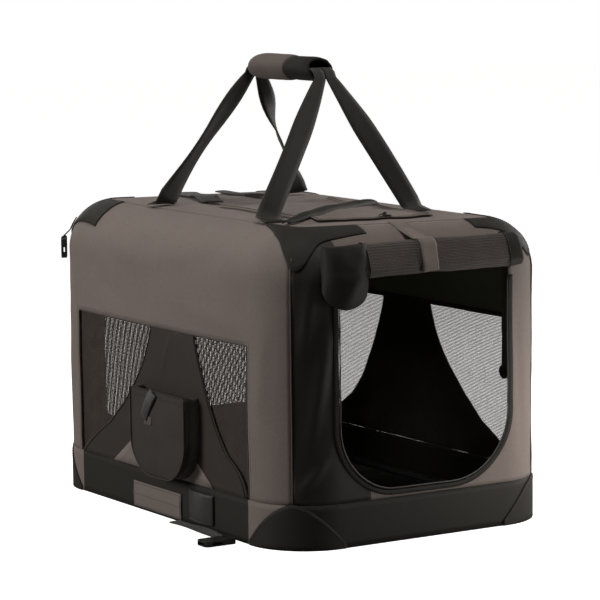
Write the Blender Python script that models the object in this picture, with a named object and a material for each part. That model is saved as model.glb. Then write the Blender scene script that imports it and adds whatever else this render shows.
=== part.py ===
"""Soft folding dog crate: a fabric cover over a steel-tube frame that folds flat.

The crate stands on Z = 0 with its length along Y and its front door at -Y.
Each end has a lower and an upper tube frame, riveted together at the knee. The
knees fold inwards and the top ring sinks straight down.
"""
import math

import bmesh
import bpy
from mathutils import Matrix, Vector

# Fabric body
body_length = 0.760
body_width = 0.510
body_height = 0.492
plan_corner_radius = 0.100
top_edge_radius = 0.083
cloth_thickness = 0.0020
patch_thickness = 0.0015
sewn_gap = 0.0003
band_height = 0.070
top_crown = 0.004
right_sag = 0.009
cover_spine_share = 0.5
cover_ring_shares = (0.25, 0.50, 0.75, 0.97)
top_seam_angle = math.radians(80)
cut_overrun = 0.004
arc_steps = 4
edge_steps = 6

# Side windows, with a bell-shaped panel between them
window_end_margin = 0.008
window_top_drop = 0.182
net_hem = 0.006
net_thickness = 0.0012
net_bar = 0.0035
net_columns = 10
net_rows = 4
bell_offset_share = 0.158
bell_half_share = 0.831
bell_height_shares = (0.0, 0.08, 0.28, 0.46, 0.78, 1.0)
bell_width_shares = (1.0, 0.92, 0.68, 0.50, 0.38, 0.31)
foot_half_share = 0.6
foot_offset = 0.005
foot_height = 0.096

# Front opening and rear window
door_reach_past_corner = 0.005
door_bottom = 0.081
door_top_drop = 0.040
door_low_radius = 0.112
door_high_radius = 0.030
rear_window_margin = 0.005
rear_window_bottom = 0.100
rear_window_top_drop = 0.102
rear_net_columns = 6
rear_net_rows = 6

# Steel-tube frame
tube_radius = 0.008
frame_clearance = 0.006
base_floor_thickness = 0.004
top_ring_drop = 0.036
top_ring_setback = 0.041
lower_pivot_height = 0.045
upper_pivot_drop = 0.022
leg_wall_distance = 0.050
knuckle_gap = 0.002
frame_bend_radius = 0.030
knuckle_radius = 0.0115
knuckle_length = 0.014
rivet_radius = 0.0030
rivet_clearance = 0.0004
rivet_head_radius = 0.0060
rivet_head_height = 0.0020
rivet_crown_share = 0.7
clip_leg_distance = 0.065
clip_width = 0.016
clip_wall = 0.0040
clip_weld_share = 0.93
clip_clearance = 0.0005

# Floor mat
mat_end_margin = 0.062
mat_side_margin = 0.041
mat_edge_thickness = 0.014
mat_crown = 0.014
mat_draw_in = 0.006

# Corner guards
guard_low_angle = math.radians(13)
guard_wing_depth = 0.052
guard_tongue_shift = 0.010
front_tongue_half = 0.028
rear_tongue_half = 0.050
guard_long_end_arm = (0.153, 0.031)
guard_short_end_arm = (0.110, 0.031)
guard_side_arm = (0.137, 0.004)
guard_rear_side_arm = (0.125, 0.070)
base_guard_arm = 0.085
base_guard_height = 0.072
base_guard_tip = 0.008
base_lobe_powers = (1.7, 1.1)

# Rolled door, its tie and its zip
roll_draw_in = 0.002
roll_centre_x = 0.014
roll_height = 0.054
roll_depth = 0.027
roll_low_edge_drop = 0.078
roll_lean = math.radians(19)
roll_lap = 0.0012
roll_section_powers = (0.7, 0.8)
tie_half_width = 0.0145
tie_centre_x = -0.004
tie_seam_angles = (78, 70, 62)
tie_wrap_start = math.radians(78)
tie_wrap_step = math.radians(17)
zip_tape_width = 0.014
zip_tape_thickness = 0.0016
zip_tape_top_gap = 0.010

# Zip sliders and ring pulls
slider_length = 0.0130
slider_width = 0.0085
slider_thickness = 0.0034
slider_lug_height = 0.0056
slider_lug_width = 0.0022
slider_lug_radius = 0.0028
slider_lug_root_share = 0.45
slider_nose_share = 0.35
slider_heel_share = 0.22
pull_ring_radius = 0.0058
pull_wire_radius = 0.0009
pull_hole_radius = 0.0015
front_slider_drop = 0.020
top_pull_droop = math.radians(20)
top_slider_x = 0.013

# Top panel and what lies on it
hatch_left_margin = 0.137
hatch_right_margin = 0.157
hatch_front_margin = 0.118
hatch_length_share = 0.4
webbing_thickness = 0.0022
webbing_width = 0.038
narrow_webbing_width = 0.022

# Carry handle
strap_centre_x = -0.028
strap_side_margin = 0.107
left_strap_margins = (0.150, 0.240)
right_strap_margins = (0.180, 0.180)
strap_foot_length = 0.025
strap_foot_rise = 0.0085
grip_rise = 0.226
grip_rear_y = 0.103
grip_front_y = -0.095
grip_strap_offset = 0.0105
grip_strap_width = 0.019
strap_bend = 0.018
strap_bend_out_shares = (0.55, 0.22, -0.35)
strap_bend_down_shares = (0.9, 0.3, 0.0)
sleeve_cover_share = 0.4
wrap_front_y = -0.013
wrap_half_width = 0.0270
wrap_half_height = 0.0200
keeper_half_width = 0.0265
keeper_half_height = 0.0180
sleeve_slot_half_width = 0.0235
sleeve_slot_half_height = 0.0028
sleeve_shares = (0.0, 0.06, 0.5, 0.94, 1.0)
sleeve_scales = (0.94, 1.0, 1.03, 1.0, 0.94)
leg_shares = (0.12, 0.30, 0.50, 0.75)
leg_taper_share = 0.45

# Side pouch
pouch_half_width = 0.0875
pouch_offset = 0.0385
pouch_height = 0.140
pouch_depth = 0.030
pouch_corner_radius = 0.030
pouch_rim_radius = 0.0015
pouch_wall = 0.0020
pull_tab_width = 0.010
pull_tab_length = 0.044
pull_tab_tilt = math.radians(24)

# Pieces on the base band
patch_front_y = -0.064
patch_rear_y = 0.091
patch_height = 0.042
patch_bottom = 0.004
loop_front_y = -0.166
loop_rear_y = -0.092
loop_low = 0.012
loop_high = 0.060
loop_bulge = 0.006

# Floor strap and its buckle half
floor_strap_y = -0.060
floor_strap_shares = (0.35, 0.7)
floor_strap_drift_shares = (0.15, 0.25)
floor_buckle_reach = 0.041
floor_buckle_margin = 0.140
buckle_length = 0.056
buckle_width = 0.032
buckle_thickness = 0.0084
buckle_wall = 0.0022
buckle_corner_share = 0.22
socket_share = 0.10
buckle_slot_shares = (0.30, 0.37)
buckle_window_shares = (-0.28, 0.02)
prong_width = 0.006
prong_thickness_share = 0.62
prong_root_share = 0.34
prong_neck_shares = (0.35, 0.8, 0.12)
prong_slot_shares = (0.77, 0.84)

# Closing straps on the top and the buckle half on the rear corner
closing_strap_start_margin = 0.079
top_strap_start_x = -0.028
top_strap_end_x = -0.1085
top_strap_end_gap = 0.034
top_buckle_x = 0.030
top_buckle_drift = 0.012
top_buckle_share = 0.395
top_buckle_width = 0.027
rear_tab_turn = math.radians(32)
rear_tab_angles = (36, 28, 21)
rear_tab_length = 0.014
rear_tab_width = 0.014
rear_hinge_reach = 0.0090
rear_bar_radius = 0.0018
rear_loop_gap = 0.0003
rear_buckle_length = 0.036
rear_buckle_width = 0.028

# The origin stands under the middle of the whole part's box
centre_shift_x = 0.0340
centre_shift_y = 0.0130

corner_x = body_width / 2 - plan_corner_radius
corner_y = body_length / 2 - plan_corner_radius
edge_start = body_height - top_edge_radius
window_bottom = band_height + sewn_gap
window_top = body_height - window_top_drop
door_top = body_height - door_top_drop
rear_window_top = body_height - rear_window_top_drop
top_ring_height = body_height - top_ring_drop
roll_low_edge = body_height - roll_low_edge_drop
grip_height = body_height + grip_rise
half_arc = plan_corner_radius * math.pi / 4
cover_spine = corner_y * cover_spine_share
window_half_length = corner_y - window_end_margin
bell_offset = window_half_length * bell_offset_share
bell_half_width = window_half_length * bell_half_share
foot_half_width = window_half_length * foot_half_share
door_half_width = corner_x + door_reach_past_corner
rear_window_half_width = corner_x - rear_window_margin
mat_half_length = body_length / 2 - mat_end_margin
mat_half_width = body_width / 2 - mat_side_margin
base_ring_reach = plan_corner_radius - cloth_thickness - frame_clearance - tube_radius
base_ring_height = base_floor_thickness + sewn_gap + tube_radius
top_ring_reach = plan_corner_radius - top_ring_setback
pivot_y = corner_y + top_ring_reach
upper_pivot_height = top_ring_height - upper_pivot_drop
frame_leg_length = (upper_pivot_height - lower_pivot_height) / 2
knee_height = lower_pivot_height + frame_leg_length
lower_leg_half_spacing = body_width / 2 - leg_wall_distance
upper_leg_half_spacing = lower_leg_half_spacing - 2 * tube_radius - knuckle_gap
clip_half_spacing = lower_leg_half_spacing - clip_leg_distance
roll_half_length = door_half_width - roll_draw_in
zip_tape_top = roll_low_edge - zip_tape_top_gap
front_slider_height = zip_tape_top - front_slider_drop
hatch_left = hatch_left_margin - body_width / 2
hatch_right = body_width / 2 - hatch_right_margin
hatch_front = hatch_front_margin - body_length / 2
hatch_rear = hatch_front + body_length * hatch_length_share
strap_left_x = strap_centre_x - (body_width / 2 - strap_side_margin)
strap_right_x = strap_centre_x + (body_width / 2 - strap_side_margin)
floor_buckle_x = -body_width / 2 - floor_buckle_reach
floor_buckle_y = floor_buckle_margin - body_length / 2
top_buckle_y = body_length / 2 * top_buckle_share
closing_strap_start = body_length / 2 - closing_strap_start_margin

grey_cloth = ("grey_cloth", (0.150, 0.128, 0.116), 0.78, 0.0)
black_cloth = ("black_cloth", (0.022, 0.020, 0.018), 0.74, 0.0)
black_webbing = ("black_webbing", (0.018, 0.018, 0.016), 0.60, 0.0)
black_net = ("black_net", (0.016, 0.015, 0.014), 0.55, 0.0)
steel = ("coated_steel", (0.060, 0.060, 0.062), 0.38, 0.6)
zinc = ("zinc", (0.320, 0.320, 0.330), 0.30, 1.0)
buckle_plastic = ("buckle_plastic", (0.014, 0.014, 0.015), 0.32, 0.0)
mat_cloth = ("mat_cloth", (0.030, 0.028, 0.027), 0.90, 0.0)


def clear_scene():
    for item in list(bpy.data.objects):
        bpy.data.objects.remove(item, do_unlink=True)


def material(look):
    name, colour, roughness, metallic = look
    found = bpy.data.materials.get(name)
    if found:
        return found
    made = bpy.data.materials.new(name)
    made.use_nodes = True
    shader = made.node_tree.nodes["Principled BSDF"]
    shader.inputs["Base Color"].default_value = (*colour, 1.0)
    shader.inputs["Roughness"].default_value = roughness
    shader.inputs["Metallic"].default_value = metallic
    return made


def pivot(name, parent, place):
    """An empty on a joint's axis. Its place is given in the crate's frame."""
    empty = bpy.data.objects.new(name, None)
    bpy.context.scene.collection.objects.link(empty)
    empty["place"] = place
    empty.parent = parent
    parent_place = Vector(parent["place"]) if parent else Vector()
    empty.location = Vector(place) - parent_place
    return empty


def add_piece(name, bm, look, parent):
    """Makes a node from a bmesh in the crate's frame, with its origin on its parent."""
    bmesh.ops.recalc_face_normals(bm, faces=bm.faces)
    mesh = bpy.data.meshes.new(name)
    bm.to_mesh(mesh)
    bm.free()
    mesh.transform(Matrix.Translation(-Vector(parent["place"])))
    mesh.shade_smooth()
    mesh.set_sharp_from_angle(angle=math.radians(35))
    mesh.materials.append(material(look))
    piece = bpy.data.objects.new(name, mesh)
    bpy.context.scene.collection.objects.link(piece)
    piece.parent = parent
    return piece


def add_tool(name, bm, parent):
    """A hidden cutter or joining shape."""
    tool = add_piece(name, bm, steel, parent)
    tool.hide_render = True
    tool.display_type = "WIRE"
    return tool


def combine(piece, tool, operation):
    step = piece.modifiers.new(tool.name, "BOOLEAN")
    step.operation = operation
    step.object = tool
    step.solver = "EXACT"


def loft(bm, rings, closed=False):
    """Skins a list of rings with equal counts, capped at both ends unless closed."""
    loops = [[bm.verts.new(point) for point in ring] for ring in rings]
    count = len(loops[0])
    pairs = list(zip(loops, loops[1:] + loops[:1])) if closed else list(zip(loops, loops[1:]))
    for first, second in pairs:
        for i in range(count):
            j = (i + 1) % count
            bm.faces.new((first[i], first[j], second[j], second[i]))
    if not closed:
        bm.faces.new(loops[0])
        bm.faces.new(loops[-1])
    return bm


def grid_solid(outer, inner, keep=None):
    """A sheet with thickness: two grids of points, joined along every free edge."""
    bm = bmesh.new()
    grids = (inner, outer)
    made = {}

    def vert(side, place):
        key = (side, *place)
        if key not in made:
            made[key] = bm.verts.new(grids[side][place[0]][place[1]])
        return made[key]

    cells = {
        (r, c)
        for r in range(len(outer) - 1)
        for c in range(len(outer[0]) - 1)
        if keep is None or keep(r, c)
    }
    for r, c in cells:
        corners = ((r, c), (r, c + 1), (r + 1, c + 1), (r + 1, c))
        bm.faces.new([vert(1, corner) for corner in corners])
        bm.faces.new([vert(0, corner) for corner in reversed(corners)])
        neighbours = ((r - 1, c), (r, c + 1), (r + 1, c), (r, c - 1))
        for i, neighbour in enumerate(neighbours):
            if neighbour in cells:
                continue
            a = corners[i]
            b = corners[(i + 1) % 4]
            bm.faces.new((vert(1, b), vert(1, a), vert(0, a), vert(0, b)))
    return bm


def prism(points, axis, start, end):
    """Extrudes an outline along an axis. The outline holds the other two coordinates in order."""
    others = [i for i in range(3) if i != axis]

    def at(point, along):
        place = [0.0, 0.0, 0.0]
        place[axis] = along
        place[others[0]], place[others[1]] = point
        return place

    return loft(bmesh.new(), [[at(p, start) for p in points], [at(p, end) for p in points]])


def cylinder(centre, axis, radius, start, end, sides=16):
    others = [i for i in range(3) if i != axis]
    outline = [
        (
            centre[others[0]] + radius * math.cos(2 * math.pi * i / sides),
            centre[others[1]] + radius * math.sin(2 * math.pi * i / sides),
        )
        for i in range(sides)
    ]
    return prism(outline, axis, start, end)


def rounded_outline(left, right, low, high, low_radius, high_radius, steps=6):
    """A rectangle with rounded corners, counter-clockwise from its lower left corner."""
    corners = (
        (left + low_radius, low + low_radius, low_radius, 180),
        (right - low_radius, low + low_radius, low_radius, 270),
        (right - high_radius, high - high_radius, high_radius, 0),
        (left + high_radius, high - high_radius, high_radius, 90),
    )
    points = []
    for cx, cy, radius, start in corners:
        for i in range(steps + 1):
            angle = math.radians(start + 90 * i / steps)
            points.append((cx + radius * math.cos(angle), cy + radius * math.sin(angle)))
    return points


def smooth_path(points, steps):
    """A Catmull-Rom curve through the points."""
    places = [Vector(p) for p in points]
    ends = [2 * places[0] - places[1]] + places + [2 * places[-1] - places[-2]]
    path = []
    for i in range(1, len(ends) - 2):
        a, b, c, d = ends[i - 1 : i + 3]
        for k in range(steps):
            t = k / steps
            bend = (2 * a - 5 * b + 4 * c - d) * t ** 2 + (3 * b - a - 3 * c + d) * t ** 3
            path.append(b + ((c - a) * t + bend) / 2)
    path.append(places[-1])
    return path


def path_tangents(path, closed=False):
    count = len(path)
    result = []
    for i in range(count):
        before = path[(i - 1) % count] if closed or i else path[0]
        after = path[(i + 1) % count] if closed or i < count - 1 else path[-1]
        result.append((after - before).normalized())
    return result


def tube(path, radius, normal, sides=10, closed=False):
    """A round tube along a path that lies in the plane square to the normal."""
    normal = Vector(normal).normalized()
    rings = []
    for centre, tangent in zip(path, path_tangents(path, closed)):
        across = tangent.cross(normal).normalized()
        rings.append(
            [
                centre
                + radius * math.cos(2 * math.pi * i / sides) * across
                + radius * math.sin(2 * math.pi * i / sides) * normal
                for i in range(sides)
            ]
        )
    return loft(bmesh.new(), rings, closed)


def ribbon(path, widths, thickness, across_axis=(1, 0, 0)):
    """A flat strap along a path, its width kept as near as it can be to one axis."""
    rings = []
    axis = Vector(across_axis)
    for centre, tangent, width in zip(path, path_tangents(path), widths):
        across = (axis - tangent * tangent.dot(axis)).normalized()
        face = tangent.cross(across).normalized()
        a = across * width / 2
        b = face * thickness / 2
        rings.append([centre - a - b, centre + a - b, centre + a + b, centre - a + b])
    return loft(bmesh.new(), rings)


def corner_station(s):
    """A place on the plan outline, s along it from the middle of the +X +Y corner.

    It is the corner's centre and an angle. s above zero runs along the end wall
    and s below zero along the side wall.
    """
    turn = max(-half_arc, min(half_arc, s)) / plan_corner_radius
    beyond = abs(s) - half_arc
    x = corner_x - beyond if s > half_arc else corner_x
    y = corner_y - beyond if -s > half_arc else corner_y
    return x, y, math.pi / 4 + turn


def mirrored(station, side_x, side_y):
    x, y, angle = station
    nx = math.cos(angle) * side_x
    ny = math.sin(angle) * side_y
    return x * side_x, y * side_y, nx, ny


def wall_row(height):
    return height, 0.0


def edge_row(angle):
    return edge_start, angle


def profile_row(v):
    """A place on the wall's profile, v down it from where the top turns flat."""
    arc = top_edge_radius * math.pi / 2
    if v <= arc:
        return edge_row(math.pi / 2 - v / top_edge_radius)
    return wall_row(edge_start - (v - arc))


def settled(x, z):
    """The soft cover stands a little lower towards its right side, from the window tops up."""
    across = x / body_width + 1 / 2
    up = max(0.0, (z - window_top) / (body_height - window_top))
    return z - right_sag * across * up


def skin_point(station, row, depth):
    """A point at some depth under the cover's outer face. Above it, depth is negative."""
    x, y, nx, ny = station
    height, angle = row
    radius = top_edge_radius - depth
    reach = plan_corner_radius - top_edge_radius + radius * math.cos(angle)
    px = x + reach * nx
    return (px, y + reach * ny, settled(px, height + radius * math.sin(angle)))


def skin_patch(stations, rows, top_depth, low_depth, keep=None):
    outer = [[skin_point(s, r, top_depth) for s in stations] for r in rows]
    inner = [[skin_point(s, r, low_depth) for s in stations] for r in rows]
    return grid_solid(outer, inner, keep)


def spread(start, end, count):
    return [start + (end - start) * i / count for i in range(count + 1)]


def side_stations(side_x, breaks):
    """Stations along a side wall from its front seam to its rear seam, with stops at the breaks."""
    seam = sewn_gap / 2
    corner = spread(-seam, -half_arc, arc_steps)
    front = [mirrored(corner_station(s), side_x, -1) for s in corner]
    rear = [mirrored(corner_station(s), side_x, 1) for s in reversed(corner)]
    straight = [(corner_x * side_x, y, side_x, 0.0) for y in breaks]
    return front + straight + rear


def end_stations(side_y, breaks):
    seam = sewn_gap / 2
    corner = spread(seam, half_arc, arc_steps)
    left = [mirrored(corner_station(s), -1, side_y) for s in corner]
    right = [mirrored(corner_station(s), 1, side_y) for s in reversed(corner)]
    straight = [(x, corner_y * side_y, 0.0, side_y) for x in breaks]
    return left + straight + right


def loop_stations():
    """Stations right round the plan outline."""
    around = []
    for side_x, side_y, forward in ((1, -1, True), (1, 1, False), (-1, 1, True), (-1, -1, False)):
        steps = spread(half_arc, -half_arc, 2 * arc_steps)
        if not forward:
            steps = list(reversed(steps))
        around += [mirrored(corner_station(s), side_x, side_y) for s in steps]
    return around


def edge_rows():
    return [edge_row(a) for a in spread(0.0, top_seam_angle - sewn_gap / top_edge_radius, edge_steps)]


def wall_rows(breaks):
    return [wall_row(window_bottom)] + [wall_row(z) for z in breaks] + edge_rows()


def cover_height(x, y):
    """Height of the top panel's outer face, rounded at the edges and crowned in the middle."""
    flat_x = corner_x + plan_corner_radius - top_edge_radius
    flat_y = corner_y + plan_corner_radius - top_edge_radius
    rise_x = max(0.0, 1 - (x / flat_x) ** 2)
    rise_y = max(0.0, 1 - (y / flat_y) ** 2)
    over = max(abs(x) - flat_x, abs(y) - flat_y, 0.0)
    edge = top_edge_radius - math.sqrt(max(0.0, top_edge_radius ** 2 - over ** 2))
    return settled(x, body_height + top_crown * rise_x * rise_y - edge)


def make_walls(base):
    window = (-window_half_length, window_half_length)
    rows = wall_rows((window_top,))
    for name, side_x in (("side_wall_left", -1), ("side_wall_right", 1)):
        stations = side_stations(side_x, window)
        first = stations.index((corner_x * side_x, window[0], side_x, 0.0))
        solid = skin_patch(
            stations, rows, 0.0, cloth_thickness, keep=lambda r, c: not (r == 0 and c == first)
        )
        add_piece(name, solid, grey_cloth, base)
    rear = (-rear_window_half_width, rear_window_half_width)
    rows = wall_rows((rear_window_bottom, rear_window_top))
    stations = end_stations(1, rear)
    first = stations.index((rear[0], corner_y, 0.0, 1))
    solid = skin_patch(
        stations, rows, 0.0, cloth_thickness, keep=lambda r, c: not (r == 1 and c == first)
    )
    add_piece("rear_wall", solid, grey_cloth, base)
    front = add_piece(
        "front_wall",
        skin_patch(end_stations(-1, ()), wall_rows(()), 0.0, cloth_thickness),
        grey_cloth,
        base,
    )
    outline = rounded_outline(
        -door_half_width, door_half_width, door_bottom, door_top, door_low_radius, door_high_radius
    )
    opening = prism(outline, 1, -body_length / 2 - cut_overrun, -corner_y)
    combine(front, add_tool("door_opening", opening, base), "DIFFERENCE")


def net_solid(along, low_left, high_right, columns, rows, face, back, axis):
    """A flat net: a sheet with a grid of square gaps, inside a hem."""
    lines = []
    for start, end, count in ((low_left[0], high_right[0], columns), (low_left[1], high_right[1], rows)):
        pitch = (end - start) / count
        line = [start - net_hem]
        for i in range(count):
            line += [start + i * pitch + net_bar / 2, start + (i + 1) * pitch - net_bar / 2]
        line.append(end + net_hem)
        lines.append(line)

    def point(a, z, depth):
        return (depth, a, z) if axis == 0 else (a, depth, z)

    outer = [[point(a, z, face) for a in lines[0]] for z in lines[1]]
    inner = [[point(a, z, back) for a in lines[0]] for z in lines[1]]
    return grid_solid(outer, inner, keep=lambda r, c: not (r % 2 == 1 and c % 2 == 1))


def make_nets(base):
    side_face = body_width / 2 - cloth_thickness - sewn_gap
    for name, side in (("window_net_left", -1), ("window_net_right", 1)):
        solid = net_solid(
            side,
            (-window_half_length, window_bottom),
            (window_half_length, window_top),
            net_columns,
            net_rows,
            side * side_face,
            side * (side_face - net_thickness),
            0,
        )
        add_piece(name, solid, black_net, base)
    rear_face = body_length / 2 - cloth_thickness - sewn_gap
    solid = net_solid(
        1,
        (-rear_window_half_width, rear_window_bottom),
        (rear_window_half_width, rear_window_top),
        rear_net_columns,
        rear_net_rows,
        rear_face,
        rear_face - net_thickness,
        1,
    )
    add_piece("rear_window_net", solid, black_net, base)


def make_bells(base):
    """The flared panels that divide the side windows, each with a grey foot."""
    low = window_bottom + sewn_gap
    high = window_top - sewn_gap
    top_depth = body_width / 2
    low_depth = body_width / 2 - cloth_thickness
    for side, suffix in ((-1, "left"), (1, "right")):
        centre = bell_offset * side
        foot_centre = foot_offset * side
        heights = [low + (high - low) * share for share in bell_height_shares]
        halves = [bell_half_width * share for share in bell_width_shares]
        outline = [(centre - w, z) for w, z in zip(halves, heights)]
        outline += [(centre + w, z) for w, z in reversed(list(zip(halves, heights)))]
        solid = prism(outline, 0, side * low_depth, side * top_depth)
        add_piece(f"bell_panel_{suffix}", solid, black_cloth, base)
        foot = [
            (foot_centre - foot_half_width, low),
            (foot_centre + foot_half_width, low),
            (foot_centre, low + foot_height),
        ]
        face = top_depth + sewn_gap
        solid = prism(foot, 0, side * face, side * (face + patch_thickness))
        add_piece(f"bell_foot_{suffix}", solid, grey_cloth, base)


def make_base(base):
    rings = [
        [skin_point(s, wall_row(height), depth) for s in loop_stations()]
        for height, depth in (
            (0.0, 0.0),
            (band_height / 2, 0.0),
            (band_height, 0.0),
            (band_height, cloth_thickness),
            (0.0, cloth_thickness),
        )
    ]
    add_piece("base_band", loft(bmesh.new(), rings, closed=True), black_cloth, base)
    inside = cloth_thickness + sewn_gap
    outline = [skin_point(s, wall_row(0.0), inside)[:2] for s in loop_stations()]
    board = prism(outline, 2, 0.0, base_floor_thickness)
    add_piece("floor_board", board, black_cloth, base)
    make_mat(base)


def make_mat(base):
    """A stuffed mat: crowned in the middle, its sides drawn in between the corners."""
    columns = 10
    rows = 14
    low = base_floor_thickness + sewn_gap

    def places(r, c):
        u = 2 * c / columns - 1
        v = 2 * r / rows - 1
        x = u * (mat_half_width - mat_draw_in * (1 - v * v) * u * u)
        y = v * (mat_half_length - mat_draw_in * (1 - u * u) * v * v)
        rise = ((1 - u ** 4) * (1 - v ** 4)) ** 0.5
        return x, y, low + mat_edge_thickness + mat_crown * rise

    top = [[places(r, c) for c in range(columns + 1)] for r in range(rows + 1)]
    bottom = [[(x, y, low) for x, y, _ in line] for line in top]
    add_piece("floor_mat", grid_solid(top, bottom), mat_cloth, base)


def ring_path(reach, height, steps=5):
    """The centre line of a frame ring that follows the plan outline."""
    path = []
    for cx, cy, start in ((1, 1, 0), (-1, 1, 90), (-1, -1, 180), (1, -1, 270)):
        for i in range(steps + 1):
            angle = math.radians(start + 90 * i / steps)
            path.append(
                Vector(
                    (
                        cx * corner_x + reach * math.cos(angle),
                        cy * corner_y + reach * math.sin(angle),
                        height,
                    )
                )
            )
    return path


def link_outline(first, first_radius, second, second_radius, steps=8):
    """The outline of a link plate: two round ends joined by straight sides."""
    a = Vector(first)
    b = Vector(second)
    along = b - a
    heading = math.atan2(along.y, along.x)
    lean = math.acos((first_radius - second_radius) / along.length)
    points = []
    for i in range(steps + 1):
        angle = heading + lean + (2 * math.pi - 2 * lean) * i / steps
        points.append((a.x + first_radius * math.cos(angle), a.y + first_radius * math.sin(angle)))
    for i in range(steps + 1):
        angle = heading - lean + 2 * lean * i / steps
        points.append((b.x + second_radius * math.cos(angle), b.y + second_radius * math.sin(angle)))
    return points


def add_clips(ring, ring_name, parent, ring_place, pivot_place):
    """Fuses saddle clips to a ring, each bored for the cross bar that turns in it."""
    ring_radius = tube_radius * clip_weld_share
    bore = tube_radius + clip_clearance
    for side_y in (-1, 1):
        for side_x in (-1, 1):
            tag = f"{ring_name}_{'front' if side_y < 0 else 'rear'}_{'left' if side_x < 0 else 'right'}"
            start = side_x * clip_half_spacing - clip_width / 2
            end = start + clip_width
            outline = link_outline(
                (side_y * ring_place[0], ring_place[1]),
                ring_radius,
                (side_y * pivot_place[0], pivot_place[1]),
                bore + clip_wall,
            )
            combine(ring, add_tool(f"{tag}_clip", prism(outline, 0, start, end), parent), "UNION")
            hole = cylinder(
                (0.0, side_y * pivot_place[0], pivot_place[1]),
                0,
                bore,
                start - cut_overrun,
                end + cut_overrun,
            )
            combine(ring, add_tool(f"{tag}_bore", hole, parent), "DIFFERENCE")


def make_rings(base, top):
    path = ring_path(base_ring_reach, base_ring_height)
    ring = add_piece("base_ring", tube(path, tube_radius, (0, 0, 1), closed=True), steel, base)
    base_ring_y = corner_y + base_ring_reach
    add_clips(ring, "base", base, (base_ring_y, base_ring_height), (pivot_y, lower_pivot_height))
    path = ring_path(top_ring_reach, top_ring_height)
    ring = add_piece("top_ring", tube(path, tube_radius, (0, 0, 1), closed=True), steel, top)
    add_clips(ring, "top", top, (pivot_y, top_ring_height), (pivot_y, upper_pivot_height))


def frame_path(half_spacing, y, bar_height, leg_end, steps=5):
    """Two legs joined by a cross bar, in the plane of one end."""
    away = 1 if leg_end > bar_height else -1
    path = [Vector((-half_spacing, y, leg_end))]
    for side in (-1, 1):
        centre_x = side * (half_spacing - frame_bend_radius)
        centre_z = bar_height + away * frame_bend_radius
        turns = spread(0.0, math.pi / 2, steps)
        if side > 0:
            turns.reverse()
        for turn in turns:
            path.append(
                Vector(
                    (
                        centre_x + side * frame_bend_radius * math.cos(turn),
                        y,
                        centre_z - away * frame_bend_radius * math.sin(turn),
                    )
                )
            )
    path.append(Vector((half_spacing, y, leg_end)))
    return path


def make_end_frame(tag, side_y, lower_pivot, upper_pivot):
    """A lower and an upper frame, side by side at the knee and held there by two rivets."""
    y = side_y * pivot_y
    specs = (
        ("lower", lower_pivot, lower_leg_half_spacing, lower_pivot_height),
        ("upper", upper_pivot, upper_leg_half_spacing, upper_pivot_height),
    )
    for level, parent, half_spacing, bar_height in specs:
        name = f"{tag}_{level}_frame"
        path = frame_path(half_spacing, y, bar_height, knee_height)
        frame = add_piece(name, tube(path, tube_radius, (0, 1, 0)), steel, parent)
        for side in (-1, 1):
            word = "left" if side < 0 else "right"
            x = side * half_spacing
            knuckle = cylinder(
                (0.0, y, knee_height), 0, knuckle_radius, x - knuckle_length / 2, x + knuckle_length / 2
            )
            combine(frame, add_tool(f"{name}_{word}_knuckle", knuckle, parent), "UNION")
        bore = cylinder(
            (0.0, y, knee_height), 0, rivet_radius + rivet_clearance, -body_width / 2, body_width / 2, 12
        )
        combine(frame, add_tool(f"{name}_bore", bore, parent), "DIFFERENCE")
    for side in (-1, 1):
        word = "left" if side < 0 else "right"
        inner = upper_leg_half_spacing - tube_radius - rivet_clearance
        outer = lower_leg_half_spacing + tube_radius + rivet_clearance
        stops = (
            (inner - rivet_head_height, rivet_head_radius * rivet_crown_share),
            (inner - rivet_head_height / 2, rivet_head_radius),
            (inner, rivet_head_radius),
            (inner, rivet_radius),
            (outer, rivet_radius),
            (outer, rivet_head_radius),
            (outer + rivet_head_height / 2, rivet_head_radius),
            (outer + rivet_head_height, rivet_head_radius * rivet_crown_share),
        )
        rings = [
            [
                (
                    side * along,
                    y + radius * math.cos(2 * math.pi * i / 12),
                    knee_height + radius * math.sin(2 * math.pi * i / 12),
                )
                for i in range(12)
            ]
            for along, radius in stops
        ]
        add_piece(f"{tag}_knee_rivet_{word}", loft(bmesh.new(), rings), zinc, lower_pivot)


def make_top_cover(top):
    """The crowned top panel, from its seam on the rounded edge to the middle."""
    stations = loop_stations()
    seam = top_seam_angle + sewn_gap / top_edge_radius
    angles = spread(seam, math.pi / 2, 2)
    outer = [[skin_point(s, edge_row(a), 0.0) for s in stations] for a in angles]
    inner = [[skin_point(s, edge_row(a), cloth_thickness) for s in stations] for a in angles]
    rim = outer[-1]
    for share in cover_ring_shares:
        ring = []
        for x, y, _ in rim:
            middle_y = max(-cover_spine, min(cover_spine, y))
            px = x * (1 - share)
            py = y + (middle_y - y) * share
            ring.append((px, py, cover_height(px, py)))
        outer.append(ring)
        inner.append([(x, y, z - cloth_thickness) for x, y, z in ring])
    add_piece("top_cover", loft(bmesh.new(), outer[::-1] + inner), grey_cloth, top)


def make_hatch(top):
    """The zipped flap on the top panel, lying on its crown."""
    xs = spread(hatch_left, hatch_right, 6)
    ys = spread(hatch_front, hatch_rear, 7)
    lift = sewn_gap * 2
    outer = [[(x, y, cover_height(x, y) + lift + patch_thickness) for x in xs] for y in ys]
    inner = [[(x, y, cover_height(x, y) + lift) for x in xs] for y in ys]
    add_piece("top_hatch", grid_solid(outer, inner), grey_cloth, top)


def arm_steps(low_arm, high_arm):
    """Places along a corner, with the walls' own stations on the arc."""
    arc = spread(-half_arc, half_arc, 2 * arc_steps)
    inside = [s for s in arc if -low_arm <= s <= high_arm]
    before = spread(-low_arm, inside[0], 3)[:-1] if low_arm > half_arc else []
    after = spread(inside[-1], high_arm, 3)[1:] if high_arm > half_arc else []
    return before + inside + after


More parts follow.
